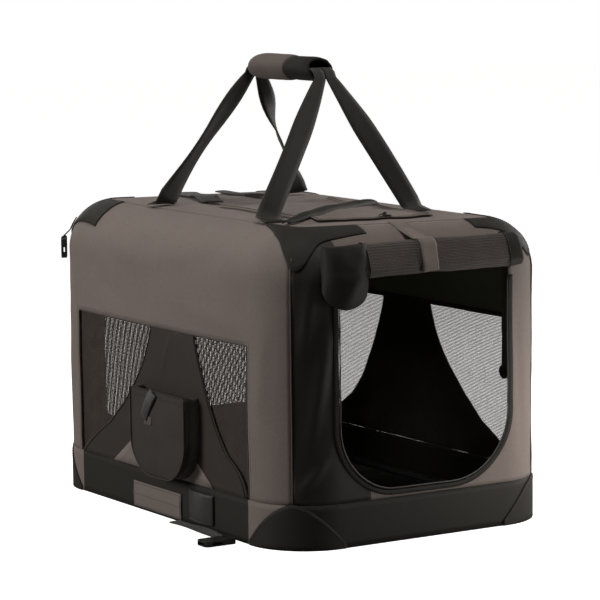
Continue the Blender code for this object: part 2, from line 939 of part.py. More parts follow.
def guard_depth(s, end_arm, side_arm, tongue_half):
    """How far under its seam a top guard reaches: two wings that narrow, and a tongue between."""
    arm, tip = end_arm if s > 0 else side_arm
    wing = tip + (guard_wing_depth - tip) * (1 - min(1.0, abs(s) / arm))
    full = top_edge_radius * (top_seam_angle - guard_low_angle)
    away = (s - guard_tongue_shift) / tongue_half
    return wing + (full - guard_wing_depth) * math.exp(-away ** 2)


def make_top_guard(name, side_x, side_y, end_arm, side_arm, tongue_half, top):
    """A corner patch in the walls' own facets, trimmed to its outline."""
    near = -sewn_gap
    far = near - patch_thickness
    places = arm_steps(side_arm[0], end_arm[0])
    stations = [mirrored(corner_station(s), side_x, side_y) for s in places]
    guard = add_piece(name, skin_patch(stations, edge_rows(), far, near), black_cloth, top)
    seam_v = top_edge_radius * (math.pi / 2 - top_seam_angle)
    waste_v = top_edge_radius * math.pi / 2 + cut_overrun
    steps = 6
    outer = [[] for _ in range(steps + 1)]
    inner = [[] for _ in range(steps + 1)]
    for s in spread(-side_arm[0] - cut_overrun, end_arm[0] + cut_overrun, 30):
        end_v = seam_v + guard_depth(s, end_arm, side_arm, tongue_half)
        station = mirrored(corner_station(s), side_x, side_y)
        for i in range(steps + 1):
            row = profile_row(end_v + (waste_v - end_v) * i / steps)
            outer[i].append(skin_point(station, row, far - cut_overrun))
            inner[i].append(skin_point(station, row, near + cut_overrun))
    combine(guard, add_tool(f"{name}_waste", grid_solid(outer, inner), top), "DIFFERENCE")


def make_base_guard(name, side_x, side_y, base):
    """A corner patch that stands on the floor and falls away along both walls."""
    places = arm_steps(base_guard_arm, base_guard_arm)
    inner_power, outer_power = base_lobe_powers
    layers = []
    for depth in (-sewn_gap - patch_thickness, -sewn_gap):
        layer = [[] for _ in range(3)]
        for s in places:
            station = mirrored(corner_station(s), side_x, side_y)
            lobe = max(0.0, 1 - (abs(s) / base_guard_arm) ** inner_power) ** outer_power
            height = base_guard_tip + (base_guard_height - base_guard_tip) * lobe
            for i, line in enumerate(layer):
                line.append(skin_point(station, wall_row(height * i / 2), depth))
        layers.append(layer)
    add_piece(name, grid_solid(*layers), black_cloth, base)


def make_guards(base, top):
    corners = (
        ("front_left", -1, -1, guard_long_end_arm, guard_side_arm, front_tongue_half),
        ("front_right", 1, -1, guard_short_end_arm, guard_side_arm, front_tongue_half),
        ("rear_left", -1, 1, guard_short_end_arm, guard_rear_side_arm, rear_tongue_half),
        ("rear_right", 1, 1, guard_short_end_arm, guard_rear_side_arm, rear_tongue_half),
    )
    for name, side_x, side_y, end_arm, side_arm, tongue_half in corners:
        make_top_guard(f"top_guard_{name}", side_x, side_y, end_arm, side_arm, tongue_half, top)
        make_base_guard(f"base_guard_{name}", side_x, side_y, base)


def roll_point(angle, grow):
    """A point round the rolled door's flattened section, which leans back with the wall."""
    half_depth = roll_depth / 2 + grow
    half_height = roll_height / 2 + grow
    across_power, up_power = roll_section_powers
    across = math.copysign(abs(math.cos(angle)) ** across_power, math.cos(angle)) * half_depth
    up = math.copysign(abs(math.sin(angle)) ** up_power, math.sin(angle)) * half_height
    lean = math.tan(roll_lean) * max(0.0, up + half_height / 2)
    y = -body_length / 2 - 2 * sewn_gap - roll_depth / 2 + across + lean
    return y, roll_low_edge + roll_height / 2 + up


def roll_section():
    """The end of the roll, with the small step where its last turn ends."""
    count = 26
    return [
        roll_point(2 * math.pi * i / count, -roll_lap * (1 - i / count)) for i in range(count)
    ]


def make_door(base, top):
    """The door panel rolled up at the top of the front, its tie and the open zip's tape."""
    start = roll_centre_x - roll_half_length
    end = roll_centre_x + roll_half_length
    add_piece("door_roll", prism(roll_section(), 0, start, end), black_net, top)
    make_tie(top)
    path = []
    rim = zip_tape_width / 2
    left = -door_half_width - rim / 2
    right = -left
    low = door_bottom - rim / 2
    radius = door_low_radius
    path.append(Vector((left, 0.0, zip_tape_top)))
    for cx, start_turn in ((left + radius, 180), (right - radius, 270)):
        for i in range(9):
            angle = math.radians(start_turn + 90 * i / 8)
            turned = low + radius + radius * math.sin(angle)
            path.append(Vector((cx + radius * math.cos(angle), 0.0, turned)))
    path.append(Vector((right, 0.0, zip_tape_top)))
    face_y = -body_length / 2 - sewn_gap - zip_tape_thickness / 2
    path = [Vector((p.x, face_y, p.z)) for p in path]
    rings = []
    for centre, tangent in zip(path, path_tangents(path)):
        across = tangent.cross(Vector((0, 1, 0))).normalized() * zip_tape_width / 2
        face = Vector((0, 1, 0)) * zip_tape_thickness / 2
        low_edge = centre - across
        high_edge = centre + across
        rings.append([low_edge - face, high_edge - face, high_edge + face, low_edge + face])
    add_piece("door_zip", loft(bmesh.new(), rings), black_webbing, base)


def make_tie(top):
    """The tab that comes from the top panel and goes round the front of the roll."""
    half = patch_thickness / 2
    station = (tie_centre_x, -corner_y, 0.0, -1.0)
    over_skin = -(half + 2 * sewn_gap)
    path = [
        Vector(skin_point(station, edge_row(math.radians(angle)), over_skin)) for angle in tie_seam_angles
    ]
    for i in range(9):
        y, z = roll_point(tie_wrap_start + tie_wrap_step * i, half + 2 * sewn_gap)
        path.append(Vector((tie_centre_x, y, z)))
    widths = [2 * tie_half_width] * len(path)
    add_piece("door_tie", ribbon(path, widths, patch_thickness), grey_cloth, top)


def slider_mesh():
    """A zip slider lying on the XY plane of its own frame, its lug up and its travel along Y."""
    outline = rounded_outline(
        -slider_width / 2,
        slider_width / 2,
        -slider_length / 2,
        slider_length / 2,
        slider_width * slider_nose_share,
        slider_width * slider_heel_share,
        3,
    )
    return prism(outline, 2, 0.0, slider_thickness)


def add_slider(name, parent, place, turn):
    """A slider with a bored lug. Turn takes its own frame to the crate's."""
    frame = Matrix.Translation(Vector(place)) @ turn
    plate = slider_mesh()
    bmesh.ops.transform(plate, matrix=frame, verts=plate.verts)
    slider = add_piece(name, plate, zinc, parent)
    lug_y = -slider_length / 2 + slider_lug_radius
    lug = prism(
        link_outline(
            (lug_y, slider_thickness / 2),
            slider_thickness * slider_lug_root_share,
            (lug_y, slider_lug_height),
            slider_lug_radius,
            6,
        ),
        0,
        -slider_lug_width / 2,
        slider_lug_width / 2,
    )
    bmesh.ops.transform(lug, matrix=frame, verts=lug.verts)
    combine(slider, add_tool(f"{name}_lug", lug, parent), "UNION")
    eye = (0.0, lug_y, slider_lug_height)
    hole = cylinder(eye, 0, pull_hole_radius, -slider_lug_width, slider_lug_width, 10)
    bmesh.ops.transform(hole, matrix=frame, verts=hole.verts)
    combine(slider, add_tool(f"{name}_hole", hole, parent), "DIFFERENCE")
    return frame @ Vector(eye)


def add_pull_ring(name, parent, frame_turn):
    """A wire ring through the lug, hanging along -Y of the slider's frame."""
    hinge = Vector(parent["place"])
    path = [
        Vector((pull_ring_radius * math.sin(a), -pull_ring_radius + pull_ring_radius * math.cos(a), 0.0))
        for a in (2 * math.pi * i / 14 for i in range(14))
    ]
    ring = tube(path, pull_wire_radius, (0, 0, 1), sides=6, closed=True)
    bmesh.ops.transform(ring, matrix=Matrix.Translation(hinge) @ frame_turn, verts=ring.verts)
    add_piece(name, ring, zinc, parent)


def front_slider_place():
    face_y = -body_length / 2 - zip_tape_thickness - 2 * sewn_gap
    return (-door_half_width, face_y, front_slider_height)


def top_slider_place():
    z = cover_height(top_slider_x, hatch_front + slider_width) + patch_thickness + 3 * sewn_gap
    return (top_slider_x, hatch_front + slider_width / 2, z)


def lug_offset(turn):
    lug_y = -slider_length / 2 + slider_lug_radius
    return turn @ Vector((0.0, lug_y, slider_lug_height))


def make_sliders(top):
    upright = Matrix.Rotation(math.pi / 2, 4, "X")
    flat = Matrix.Rotation(-math.pi / 2, 4, "Z")
    for name, place, turn in (
        ("front_zip", front_slider_place(), upright),
        ("top_zip", top_slider_place(), flat),
    ):
        run = pivot(f"{name}_run", top, place)
        add_slider(f"{name}_slider", run, place, turn)
        hinge_place = Vector(place) + lug_offset(turn)
        hinge = pivot(f"{name}_pull_hinge", run, tuple(hinge_place))
        tilt = turn if name == "front_zip" else turn @ Matrix.Rotation(top_pull_droop, 4, "X")
        add_pull_ring(f"{name}_pull", hinge, tilt)


def strap_leg(x, grip_x, side_y, grip_y, margin):
    """Half of a handle strap, from its sewn foot on the top panel up to the grip."""
    lift = webbing_thickness / 2 + 2 * sewn_gap
    inner_x = x - math.copysign(webbing_width / 2, x)
    outer_y = body_length / 2 - margin
    foot_y = outer_y - strap_foot_length
    path = [
        Vector((x, side_y * outer_y, cover_height(inner_x, outer_y) + lift)),
        Vector((x, side_y * foot_y, cover_height(inner_x, foot_y) + lift + strap_foot_rise)),
    ]
    widths = [webbing_width, webbing_width]
    foot = path[-1]
    bends = [
        Vector((grip_x, grip_y + side_y * strap_bend * out, grip_height - strap_bend * down))
        for out, down in zip(strap_bend_out_shares, strap_bend_down_shares)
    ]
    for share in (*leg_shares, 1.0):
        path.append(foot.lerp(bends[0], share))
        taper = max(0.0, (share - leg_taper_share) / (1 - leg_taper_share))
        widths.append(webbing_width + (grip_strap_width - webbing_width) * taper)
    path += bends[1:]
    widths += [grip_strap_width, grip_strap_width]
    return path, widths


def make_handle(top):
    for name, x, grip_x, margins in (
        ("handle_strap_left", strap_left_x, -grip_strap_offset, left_strap_margins),
        ("handle_strap_right", strap_right_x, grip_strap_offset, right_strap_margins),
    ):
        path, widths = strap_leg(x, grip_x, 1, grip_rear_y, margins[1])
        front_path, front_widths = strap_leg(x, grip_x, -1, grip_front_y, margins[0])
        path += front_path[::-1]
        widths += front_widths[::-1]
        add_piece(name, ribbon(path, widths, webbing_thickness), black_webbing, top)
    rear_y = grip_rear_y - strap_bend * sleeve_cover_share
    front_y = grip_front_y + strap_bend * sleeve_cover_share
    sleeve("grip_wrap", grey_cloth, top, rear_y, wrap_front_y, wrap_half_width, wrap_half_height)
    keeper_y = wrap_front_y - 2 * sewn_gap
    sleeve("grip_keeper", black_webbing, top, keeper_y, front_y, keeper_half_width, keeper_half_height)


def sleeve(name, look, top, rear, front, half_width, half_height, steps=18):
    """A padded sleeve round both straps, softly rounded at its ends."""

    def ring(share, ring_width, ring_height):
        y = rear + (front - rear) * share
        return [
            (
                ring_width * math.cos(2 * math.pi * i / steps),
                y,
                grip_height + ring_height * math.sin(2 * math.pi * i / steps),
            )
            for i in range(steps)
        ]

    outer = [
        ring(share, half_width * scale, half_height * scale)
        for share, scale in zip(sleeve_shares, sleeve_scales)
    ]
    inner = [ring(share, sleeve_slot_half_width, sleeve_slot_half_height) for share in (1.0, 0.5, 0.0)]
    add_piece(name, loft(bmesh.new(), outer + inner, closed=True), look, top)


def make_pouch(base):
    """A bellows pouch with round lower corners, open at its top."""
    back = body_width / 2 + patch_thickness + 2 * sewn_gap
    low = band_height + 2 * sewn_gap
    left = -pouch_offset - pouch_half_width
    right = -pouch_offset + pouch_half_width
    outline = rounded_outline(left, right, low, low + pouch_height, pouch_corner_radius, pouch_rim_radius, 5)
    pouch = add_piece("side_pouch", prism(outline, 0, -back - pouch_depth, -back), black_cloth, base)
    outline = rounded_outline(
        left + pouch_wall,
        right - pouch_wall,
        low + pouch_wall,
        low + pouch_height + cut_overrun,
        pouch_corner_radius - pouch_wall,
        pouch_rim_radius,
        5,
    )
    hollow = prism(outline, 0, -back - pouch_depth + pouch_wall, -back - pouch_wall)
    combine(pouch, add_tool("pouch_hollow", hollow, base), "DIFFERENCE")
    tab_x = -back - pouch_depth - sewn_gap
    tab_top = low + pouch_height - pouch_wall
    heading = Vector((0.0, math.sin(pull_tab_tilt), -math.cos(pull_tab_tilt)))
    side = Vector((0.0, math.cos(pull_tab_tilt), math.sin(pull_tab_tilt)))
    start = Vector((tab_x, -pouch_offset + pull_tab_width / 2, tab_top))
    outline = []
    for along, across in ((0, -1), (1, -1), (1, 1), (0, 1)):
        point = start + heading * pull_tab_length * along + side * pull_tab_width / 2 * across
        outline.append((point.y, point.z))
    add_piece("pouch_pull", prism(outline, 0, tab_x - patch_thickness, tab_x), black_webbing, base)


def make_band_pieces(base):
    face = body_width / 2 + sewn_gap
    outline = rounded_outline(
        patch_front_y, patch_rear_y, patch_bottom, patch_bottom + patch_height, patch_bottom, patch_bottom, 3
    )
    add_piece("base_patch", prism(outline, 0, -face - patch_thickness, -face), grey_cloth, base)
    ys = spread(loop_front_y, loop_rear_y, 8)
    outer = []
    inner = []
    for z in (loop_low, loop_high):
        outer_line = []
        inner_line = []
        for i, y in enumerate(ys):
            bulge = loop_bulge * math.sin(math.pi * i / 8)
            outer_line.append((-face - bulge - patch_thickness, y, z))
            inner_line.append((-face - bulge, y, z))
        outer.append(outer_line)
        inner.append(inner_line)
    add_piece("base_loop", grid_solid(outer, inner), black_webbing, base)


def buckle_frame_outline(length, width):
    radius = width * buckle_corner_share
    return rounded_outline(-length / 2, length / 2, -width / 2, width / 2, radius, radius, 4)


def add_female_buckle(name, parent, matrix, length, width, slot):
    """The socket half of a side-release buckle, with its side windows and its strap slot.

    The slot holds where it starts and ends along the buckle, and half its width.
    """
    body = prism(buckle_frame_outline(length, width), 2, 0.0, buckle_thickness)
    bmesh.ops.transform(body, matrix=matrix, verts=body.verts)
    buckle = add_piece(name, body, buckle_plastic, parent)
    inside = width / 2 - 2 * buckle_wall
    slot_start, slot_end, slot_half = slot
    cuts = {
        "socket": (
            -length / 2 - cut_overrun,
            length * socket_share,
            -inside,
            inside,
            buckle_wall,
            buckle_thickness - buckle_wall,
        ),
        "slot": (slot_start, slot_end, -slot_half, slot_half, -cut_overrun, buckle_thickness + cut_overrun),
        "window": (
            length * buckle_window_shares[0],
            length * buckle_window_shares[1],
            -width / 2 - cut_overrun,
            width / 2 + cut_overrun,
            buckle_wall,
            buckle_thickness - buckle_wall,
        ),
    }
    for word, (x0, x1, y0, y1, z0, z1) in cuts.items():
        box = prism([(x0, y0), (x1, y0), (x1, y1), (x0, y1)], 2, z0, z1)
        bmesh.ops.transform(box, matrix=matrix, verts=box.verts)
        combine(buckle, add_tool(f"{name}_{word}", box, parent), "DIFFERENCE")
    return buckle


def add_male_buckle(name, parent, matrix, length, width):
    """The prong half: a slotted bar with two springy side arms and a middle guide."""
    half = width / 2
    root = length * prong_root_share
    thick = buckle_thickness * prong_thickness_share
    barb, neck, guide = [root * share for share in prong_neck_shares]
    arm = half - prong_width
    right = [
        (root, half),
        (barb, half),
        (0.0, half - prong_width / 2),
        (0.0, arm),
        (neck, arm),
        (neck, prong_width / 3),
        (guide, prong_width / 4),
    ]
    left = [(x, -y) for x, y in reversed(right)]
    outline = [(length, -half), (length, half)] + right + left
    shift = length / 2
    body = prism([(x - shift, y) for x, y in outline], 2, 0.0, thick)
    bmesh.ops.transform(body, matrix=matrix, verts=body.verts)
    buckle = add_piece(name, body, buckle_plastic, parent)
    x0 = length * prong_slot_shares[0] - shift
    x1 = length * prong_slot_shares[1] - shift
    y1 = half - buckle_wall * 2
    slot = prism([(x0, -y1), (x1, -y1), (x1, y1), (x0, y1)], 2, -cut_overrun, thick + cut_overrun)
    bmesh.ops.transform(slot, matrix=matrix, verts=slot.verts)
    combine(buckle, add_tool(f"{name}_slot", slot, parent), "DIFFERENCE")
    return buckle


def make_floor_strap(base):
    """The closing strap that comes out under the band and lies on the floor, with its buckle."""
    rest = webbing_thickness / 2 + sewn_gap
    start_x = -body_width / 2 - sewn_gap - narrow_webbing_width / 2
    run = floor_buckle_y - floor_strap_y
    near_share, far_share = floor_strap_shares
    drift, end_drift = [narrow_webbing_width * share for share in floor_strap_drift_shares]
    points = [
        (start_x, floor_strap_y, rest),
        (start_x, floor_strap_y + run * near_share, rest),
        (start_x - drift, floor_strap_y + run * far_share, rest),
        (start_x - end_drift, floor_buckle_y + buckle_width / 2 + sewn_gap, rest),
    ]
    path = smooth_path(points, 5)
    widths = [narrow_webbing_width] * len(path)
    add_piece("floor_strap", ribbon(path, widths, webbing_thickness), black_webbing, base)
    turn = Matrix.Translation((floor_buckle_x, floor_buckle_y, sewn_gap))
    starts, ends = [buckle_length * share for share in buckle_slot_shares]
    slot = (starts, ends, buckle_width / 2 - 2 * buckle_wall)
    add_female_buckle("floor_buckle", base, turn, buckle_length, buckle_width, slot)


def lay_on_top(x0, y0, x1, y1, count, lift):
    path = []
    for i in range(count + 1):
        x = x0 + (x1 - x0) * i / count
        y = y0 + (y1 - y0) * i / count
        path.append(Vector((x, y, cover_height(x, y) + lift)))
    return path


def make_top_straps(top):
    """Two closing straps from the rear edge, lying on the top panel, one with a buckle half."""
    lift = webbing_thickness / 2 + 3 * sewn_gap
    rear_y = closing_strap_start
    path = lay_on_top(top_strap_start_x, rear_y, top_strap_end_x, hatch_rear + top_strap_end_gap, 8, lift)
    widths = [webbing_width] * len(path)
    add_piece("top_strap", ribbon(path, widths, webbing_thickness), black_webbing, top)
    strap_end = top_buckle_y + buckle_length / 2 + 5 * sewn_gap
    path = lay_on_top(top_buckle_x + top_buckle_drift, rear_y, top_buckle_x, strap_end, 6, lift)
    widths = [narrow_webbing_width] * len(path)
    add_piece("top_buckle_strap", ribbon(path, widths, webbing_thickness), black_webbing, top)
    front_z = cover_height(top_buckle_x, top_buckle_y - buckle_length / 2)
    rear_z = cover_height(top_buckle_x, strap_end)
    slope = math.atan((front_z - rear_z) / buckle_length)
    middle_z = cover_height(top_buckle_x, top_buckle_y) + 3 * sewn_gap
    turn = (
        Matrix.Translation((top_buckle_x, top_buckle_y, middle_z))
        @ Matrix.Rotation(math.pi / 2, 4, "Z")
        @ Matrix.Rotation(slope, 4, "Y")
    )
    add_male_buckle("top_buckle", top, turn, buckle_length, top_buckle_width)


def across_cylinder(centre, along, radius, half_length, sides=16):
    """A cylinder through a point, along a level direction."""
    round_piece = cylinder((0.0, 0.0, 0.0), 0, radius, -half_length, half_length, sides)
    turn = Matrix.Rotation(math.atan2(along.y, along.x), 4, "Z")
    bmesh.ops.transform(round_piece, matrix=Matrix.Translation(centre) @ turn, verts=round_piece.verts)
    return round_piece


def make_rear_tab(top, normal, along):
    """The webbing tab sewn on the rear left guard, with the loop that holds the buckle's bar."""
    station = (-corner_x, corner_y, normal.x, normal.y)
    over_guard = -(patch_thickness + 2 * sewn_gap + webbing_thickness / 2)
    points = [
        Vector(skin_point(station, edge_row(math.radians(angle)), over_guard)) for angle in rear_tab_angles
    ]
    hinge_place = Vector((-corner_x, corner_y, points[-1].z - rear_tab_length))
    hinge_place += normal * (plan_corner_radius + rear_hinge_reach)
    points.append(points[-1].lerp(hinge_place, 1 / 2))
    points.append(hinge_place)
    path = smooth_path(points, 2)
    strap = ribbon(path, [rear_tab_width] * len(path), webbing_thickness, tuple(along))
    tab = add_piece("rear_tab", strap, black_webbing, top)
    bore = rear_bar_radius + rear_loop_gap
    loop = across_cylinder(hinge_place, along, bore + webbing_thickness / 2, rear_tab_width / 2 - sewn_gap)
    combine(tab, add_tool("rear_tab_loop", loop, top), "UNION")
    hole = across_cylinder(hinge_place, along, bore, rear_tab_width)
    combine(tab, add_tool("rear_tab_bore", hole, top), "DIFFERENCE")
    return hinge_place


def make_rear_buckle(top):
    """The buckle half that hangs by its bar from a webbing tab on the rear left corner."""
    normal = Vector((-math.cos(rear_tab_turn), math.sin(rear_tab_turn), 0.0))
    along = Vector((0, 0, 1)).cross(normal).normalized()
    hinge_place = make_rear_tab(top, normal, along)
    hinge = pivot("rear_buckle_hinge", top, tuple(hinge_place))
    down = Matrix((
        (0.0, along.x, normal.x, 0.0),
        (0.0, along.y, normal.y, 0.0),
        (1.0, 0.0, 0.0, 0.0),
        (0.0, 0.0, 0.0, 1.0),
    ))
    bar_drop = rear_buckle_length / 2 - rear_bar_radius
    place = Matrix.Translation(hinge_place - Vector((0, 0, bar_drop)) - normal * buckle_thickness / 2) @ down
    loop_reach = rear_bar_radius + 3 * rear_loop_gap + webbing_thickness / 2
    slot_half = rear_tab_width / 2 + rear_loop_gap
    slot = (bar_drop - loop_reach, rear_buckle_length, slot_half)
    buckle = add_female_buckle("rear_buckle", hinge, place, rear_buckle_length, rear_buckle_width, slot)
    bar = across_cylinder(hinge_place, along, rear_bar_radius, slot_half + buckle_wall)
    combine(buckle, add_tool("rear_buckle_bar", bar, hinge), "UNION")


def build():
    clear_scene()
    crate = pivot("crate", None, (0.0, 0.0, 0.0))
    front_lower = pivot("front_lower_axis", crate, (0.0, -pivot_y, lower_pivot_height))
    front_upper = pivot("front_upper_axis", front_lower, (0.0, -pivot_y, knee_height))
    top = pivot("top_axis", front_upper, (0.0, -pivot_y, upper_pivot_height))
    rear_lower = pivot("rear_lower_axis", crate, (0.0, pivot_y, lower_pivot_height))
    rear_upper = pivot("rear_upper_axis", rear_lower, (0.0, pivot_y, knee_height))
    make_rings(crate, top)
    make_end_frame("front", -1, front_lower, front_upper)
    make_end_frame("rear", 1, rear_lower, rear_upper)
    make_base(crate)
    make_walls(crate)
    make_nets(crate)
    make_bells(crate)
    make_guards(crate, top)
    make_top_cover(top)
    make_hatch(top)
    make_door(crate, top)
    make_sliders(top)
    make_handle(top)
    make_pouch(crate)
    make_band_pieces(crate)
    make_floor_strap(crate)
    make_top_straps(top)
    make_rear_buckle(top)
    crate.location = (centre_shift_x, centre_shift_y, 0.0)


build()
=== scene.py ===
import math

import bmesh
import bpy
from mathutils import Matrix, Vector, noise


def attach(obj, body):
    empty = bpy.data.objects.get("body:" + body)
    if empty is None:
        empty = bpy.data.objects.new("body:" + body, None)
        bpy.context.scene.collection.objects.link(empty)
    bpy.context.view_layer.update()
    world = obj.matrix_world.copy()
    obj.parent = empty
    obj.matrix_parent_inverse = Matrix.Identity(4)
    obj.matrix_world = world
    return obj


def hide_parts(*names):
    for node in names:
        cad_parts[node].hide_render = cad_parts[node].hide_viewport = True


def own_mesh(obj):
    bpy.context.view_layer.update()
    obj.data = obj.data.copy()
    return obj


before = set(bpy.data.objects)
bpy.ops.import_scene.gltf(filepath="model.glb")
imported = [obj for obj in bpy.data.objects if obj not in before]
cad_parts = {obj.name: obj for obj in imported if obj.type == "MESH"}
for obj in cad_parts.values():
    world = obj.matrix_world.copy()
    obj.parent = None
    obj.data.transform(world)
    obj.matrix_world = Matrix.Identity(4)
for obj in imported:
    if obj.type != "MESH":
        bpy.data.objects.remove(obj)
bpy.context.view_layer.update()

crate = {
    "shift": Vector((0.034, 0.013, 0.0)),  # from the crate's own middle to the frame's origin
    "cornerX": 0.155,
    "cornerY": 0.280,
    "plan": 0.100,
    "edge": 0.083,
    "height": 0.492,
    "crown": 0.004,
    "sag": 0.009,  # how much lower the cover stands on its right side
    "sagFrom": 0.310,
    "band": 0.070,
    "seamTurn": math.radians(80),
    "foldTravel": 0.389 * (1 - math.cos(math.radians(75))),
}
crate["edgeStart"] = crate["height"] - crate["edge"]
crate["seamUp"] = crate["edgeStart"] + crate["edge"] * crate["seamTurn"]
halfArc = crate["plan"] * math.pi / 4


def settled(x, z):
    across = x / 0.510 + 0.5
    return z - crate["sag"] * across * max(0.0, (z - crate["sagFrom"]) / (crate["height"] - crate["sagFrom"]))


def newMaterial(name, values):
    mat = bpy.data.materials.new(name)
    mat.use_nodes = True
    shader = mat.node_tree.nodes["Principled BSDF"]
    for socket, value in values.items():
        shader.inputs[socket].default_value = value
    return mat, mat.node_tree, shader


def feed(tree, source, socket):
    # an output is linked to the socket, and a number or a colour is set on it
    if isinstance(source, bpy.types.NodeSocket):
        tree.links.new(source, socket)
    else:
        socket.default_value = source


def addMath(tree, operation, *sources):
    node = tree.nodes.new("ShaderNodeMath")
    node.operation = operation
    for source, socket in zip(sources, node.inputs):
        feed(tree, source, socket)
    return node.outputs[0]


def addNoise(tree, place, scale, detail=2):
    node = tree.nodes.new("ShaderNodeTexNoise")
    node.inputs["Scale"].default_value = scale
    node.inputs["Detail"].default_value = detail
    tree.links.new(place, node.inputs["Vector"])
    return node.outputs


def addTint(tree, colour, level, socket):
    # the colour made lighter or darker by a level round 1
    node = tree.nodes.new("ShaderNodeVectorMath")
    node.operation = "SCALE"
    feed(tree, colour, node.inputs[0])
    tree.links.new(level, node.inputs["Scale"])
    tree.links.new(node.outputs[0], socket)


def addRelief(tree, shader, height, strength, distance=0.0004):
    node = tree.nodes.new("ShaderNodeBump")
    node.inputs["Strength"].default_value = strength
    node.inputs["Distance"].default_value = distance
    tree.links.new(height, node.inputs["Height"])
    tree.links.new(node.outputs[0], shader.inputs["Normal"])


def clothPlace(tree):
    # a piece's own place on its cloth, in metres
    node = tree.nodes.new("ShaderNodeUVMap")
    node.uv_map = "cloth"
    return node.outputs[0]


def splitPlace(tree, place):
    node = tree.nodes.new("ShaderNodeSeparateXYZ")
    tree.links.new(place, node.inputs[0])
    return node.outputs[0], node.outputs[1]


weave = {"slubScale": 160, "slub": 0.22, "stainScale": 9, "threadMiddle": 0.4}


def makeWeaveGroup():
    # warp and weft threads, slubs and soft stains, all from a position in metres on the cloth
    group = bpy.data.node_groups.new("clothWeave", "ShaderNodeTree")
    face = group.interface
    face.new_socket("Place", in_out="INPUT", socket_type="NodeSocketVector")
    face.new_socket("Colour", in_out="INPUT", socket_type="NodeSocketColor")
    for name, value in (("Pitch", 0.0011), ("Thread", 0.25), ("Stain", 0.12)):
        face.new_socket(name, in_out="INPUT", socket_type="NodeSocketFloat").default_value = value
    face.new_socket("Colour", in_out="OUTPUT", socket_type="NodeSocketColor")
    face.new_socket("Height", in_out="OUTPUT", socket_type="NodeSocketFloat")
    given = group.nodes.new("NodeGroupInput").outputs
    made = group.nodes.new("NodeGroupOutput").inputs
    waves = []
    for part in splitPlace(group, given["Place"]):
        turn = addMath(group, "DIVIDE", part, given["Pitch"])
        turn = addMath(group, "MULTIPLY", turn, math.pi)
        waves.append(addMath(group, "ABSOLUTE", addMath(group, "SINE", turn)))
    height = addMath(group, "MULTIPLY", *waves)
    slub = addNoise(group, given["Place"], weave["slubScale"])[0]
    stain = addNoise(group, given["Place"], weave["stainScale"], 4)[0]
    level = addMath(group, "SUBTRACT", height, weave["threadMiddle"])
    level = addMath(group, "MULTIPLY", level, given["Thread"])
    drift = addMath(group, "MULTIPLY", addMath(group, "SUBTRACT", stain, 0.5), given["Stain"])
    grain = addMath(group, "MULTIPLY", addMath(group, "SUBTRACT", slub, 0.5), weave["slub"])
    total = addMath(group, "ADD", addMath(group, "ADD", level, drift), grain)
    addTint(group, given["Colour"], addMath(group, "ADD", total, 1.0), made["Colour"])
    group.links.new(addMath(group, "ADD", height, grain), made["Height"])
    return group


weaveGroup = makeWeaveGroup()


def clothMaterial(name, colour, pitch=0.0011, thread=0.25, stain=0.12, roughness=0.82, sheen=0.15, bump=0.35):
    mat, tree, shader = newMaterial(name, {
        "Roughness": roughness, "Sheen Weight": sheen, "Sheen Roughness": 0.4, "Specular IOR Level": 0.25,
    })
    cloth = tree.nodes.new("ShaderNodeGroup")
    cloth.node_tree = weaveGroup
    tree.links.new(clothPlace(tree), cloth.inputs["Place"])
    for socket, value in (("Colour", (*colour, 1)), ("Pitch", pitch), ("Thread", thread), ("Stain", stain)):
        cloth.inputs[socket].default_value = value
    tree.links.new(cloth.outputs["Colour"], shader.inputs["Base Color"])
    addRelief(tree, shader, cloth.outputs["Height"], bump)
    return mat


def webbingMaterial(name, colour, ribPitch=0.0019, roughness=0.62):
    # twill ribs that lean both ways across the strap, with a little fuzz
    mat, tree, shader = newMaterial(name, {"Roughness": roughness, "Sheen Weight": 0.2, "Specular IOR Level": 0.3})
    place = clothPlace(tree)
    across, along = splitPlace(tree, place)
    along = addMath(tree, "MULTIPLY", along, 2 * math.pi / ribPitch)
    across = addMath(tree, "MULTIPLY", across, 2 * math.pi / (ribPitch * 1.5))
    rib = addMath(tree, "SINE", addMath(tree, "ADD", along, across))
    back = addMath(tree, "SINE", addMath(tree, "SUBTRACT", along, across))
    height = addMath(tree, "MAXIMUM", rib, back)
    fuzz = addMath(tree, "MULTIPLY", addNoise(tree, place, 220)[0], 0.5)
    level = addMath(tree, "ADD", addMath(tree, "MULTIPLY", height, 0.16), fuzz)
    addTint(tree, colour, addMath(tree, "ADD", level, 0.70), shader.inputs["Base Color"])
    addRelief(tree, shader, height, 0.5)
    return mat


def netMaterial(name, colour, pitch, thread, wander=0.0004):
    # open netting: square holes on the cloth's own position, in metres, with threads that wander a little
    mat, tree, shader = newMaterial(name, {"Roughness": 0.6, "Specular IOR Level": 0.3})
    place = clothPlace(tree)
    drift = tree.nodes.new("ShaderNodeSeparateColor")
    tree.links.new(addNoise(tree, place, 420)["Color"], drift.inputs[0])
    lines = []
    for part, away in zip(splitPlace(tree, place), drift.outputs):
        part = addMath(tree, "ADD", part, addMath(tree, "MULTIPLY", away, wander))
        part = addMath(tree, "FRACT", addMath(tree, "DIVIDE", part, pitch))
        lines.append(addMath(tree, "LESS_THAN", part, thread))
    fibre = addNoise(tree, place, 40, 3)[0]
    addTint(tree, colour, addMath(tree, "ADD", fibre, 0.5), shader.inputs["Base Color"])
    tree.links.new(addMath(tree, "MAXIMUM", *lines), shader.inputs["Alpha"])
    return mat


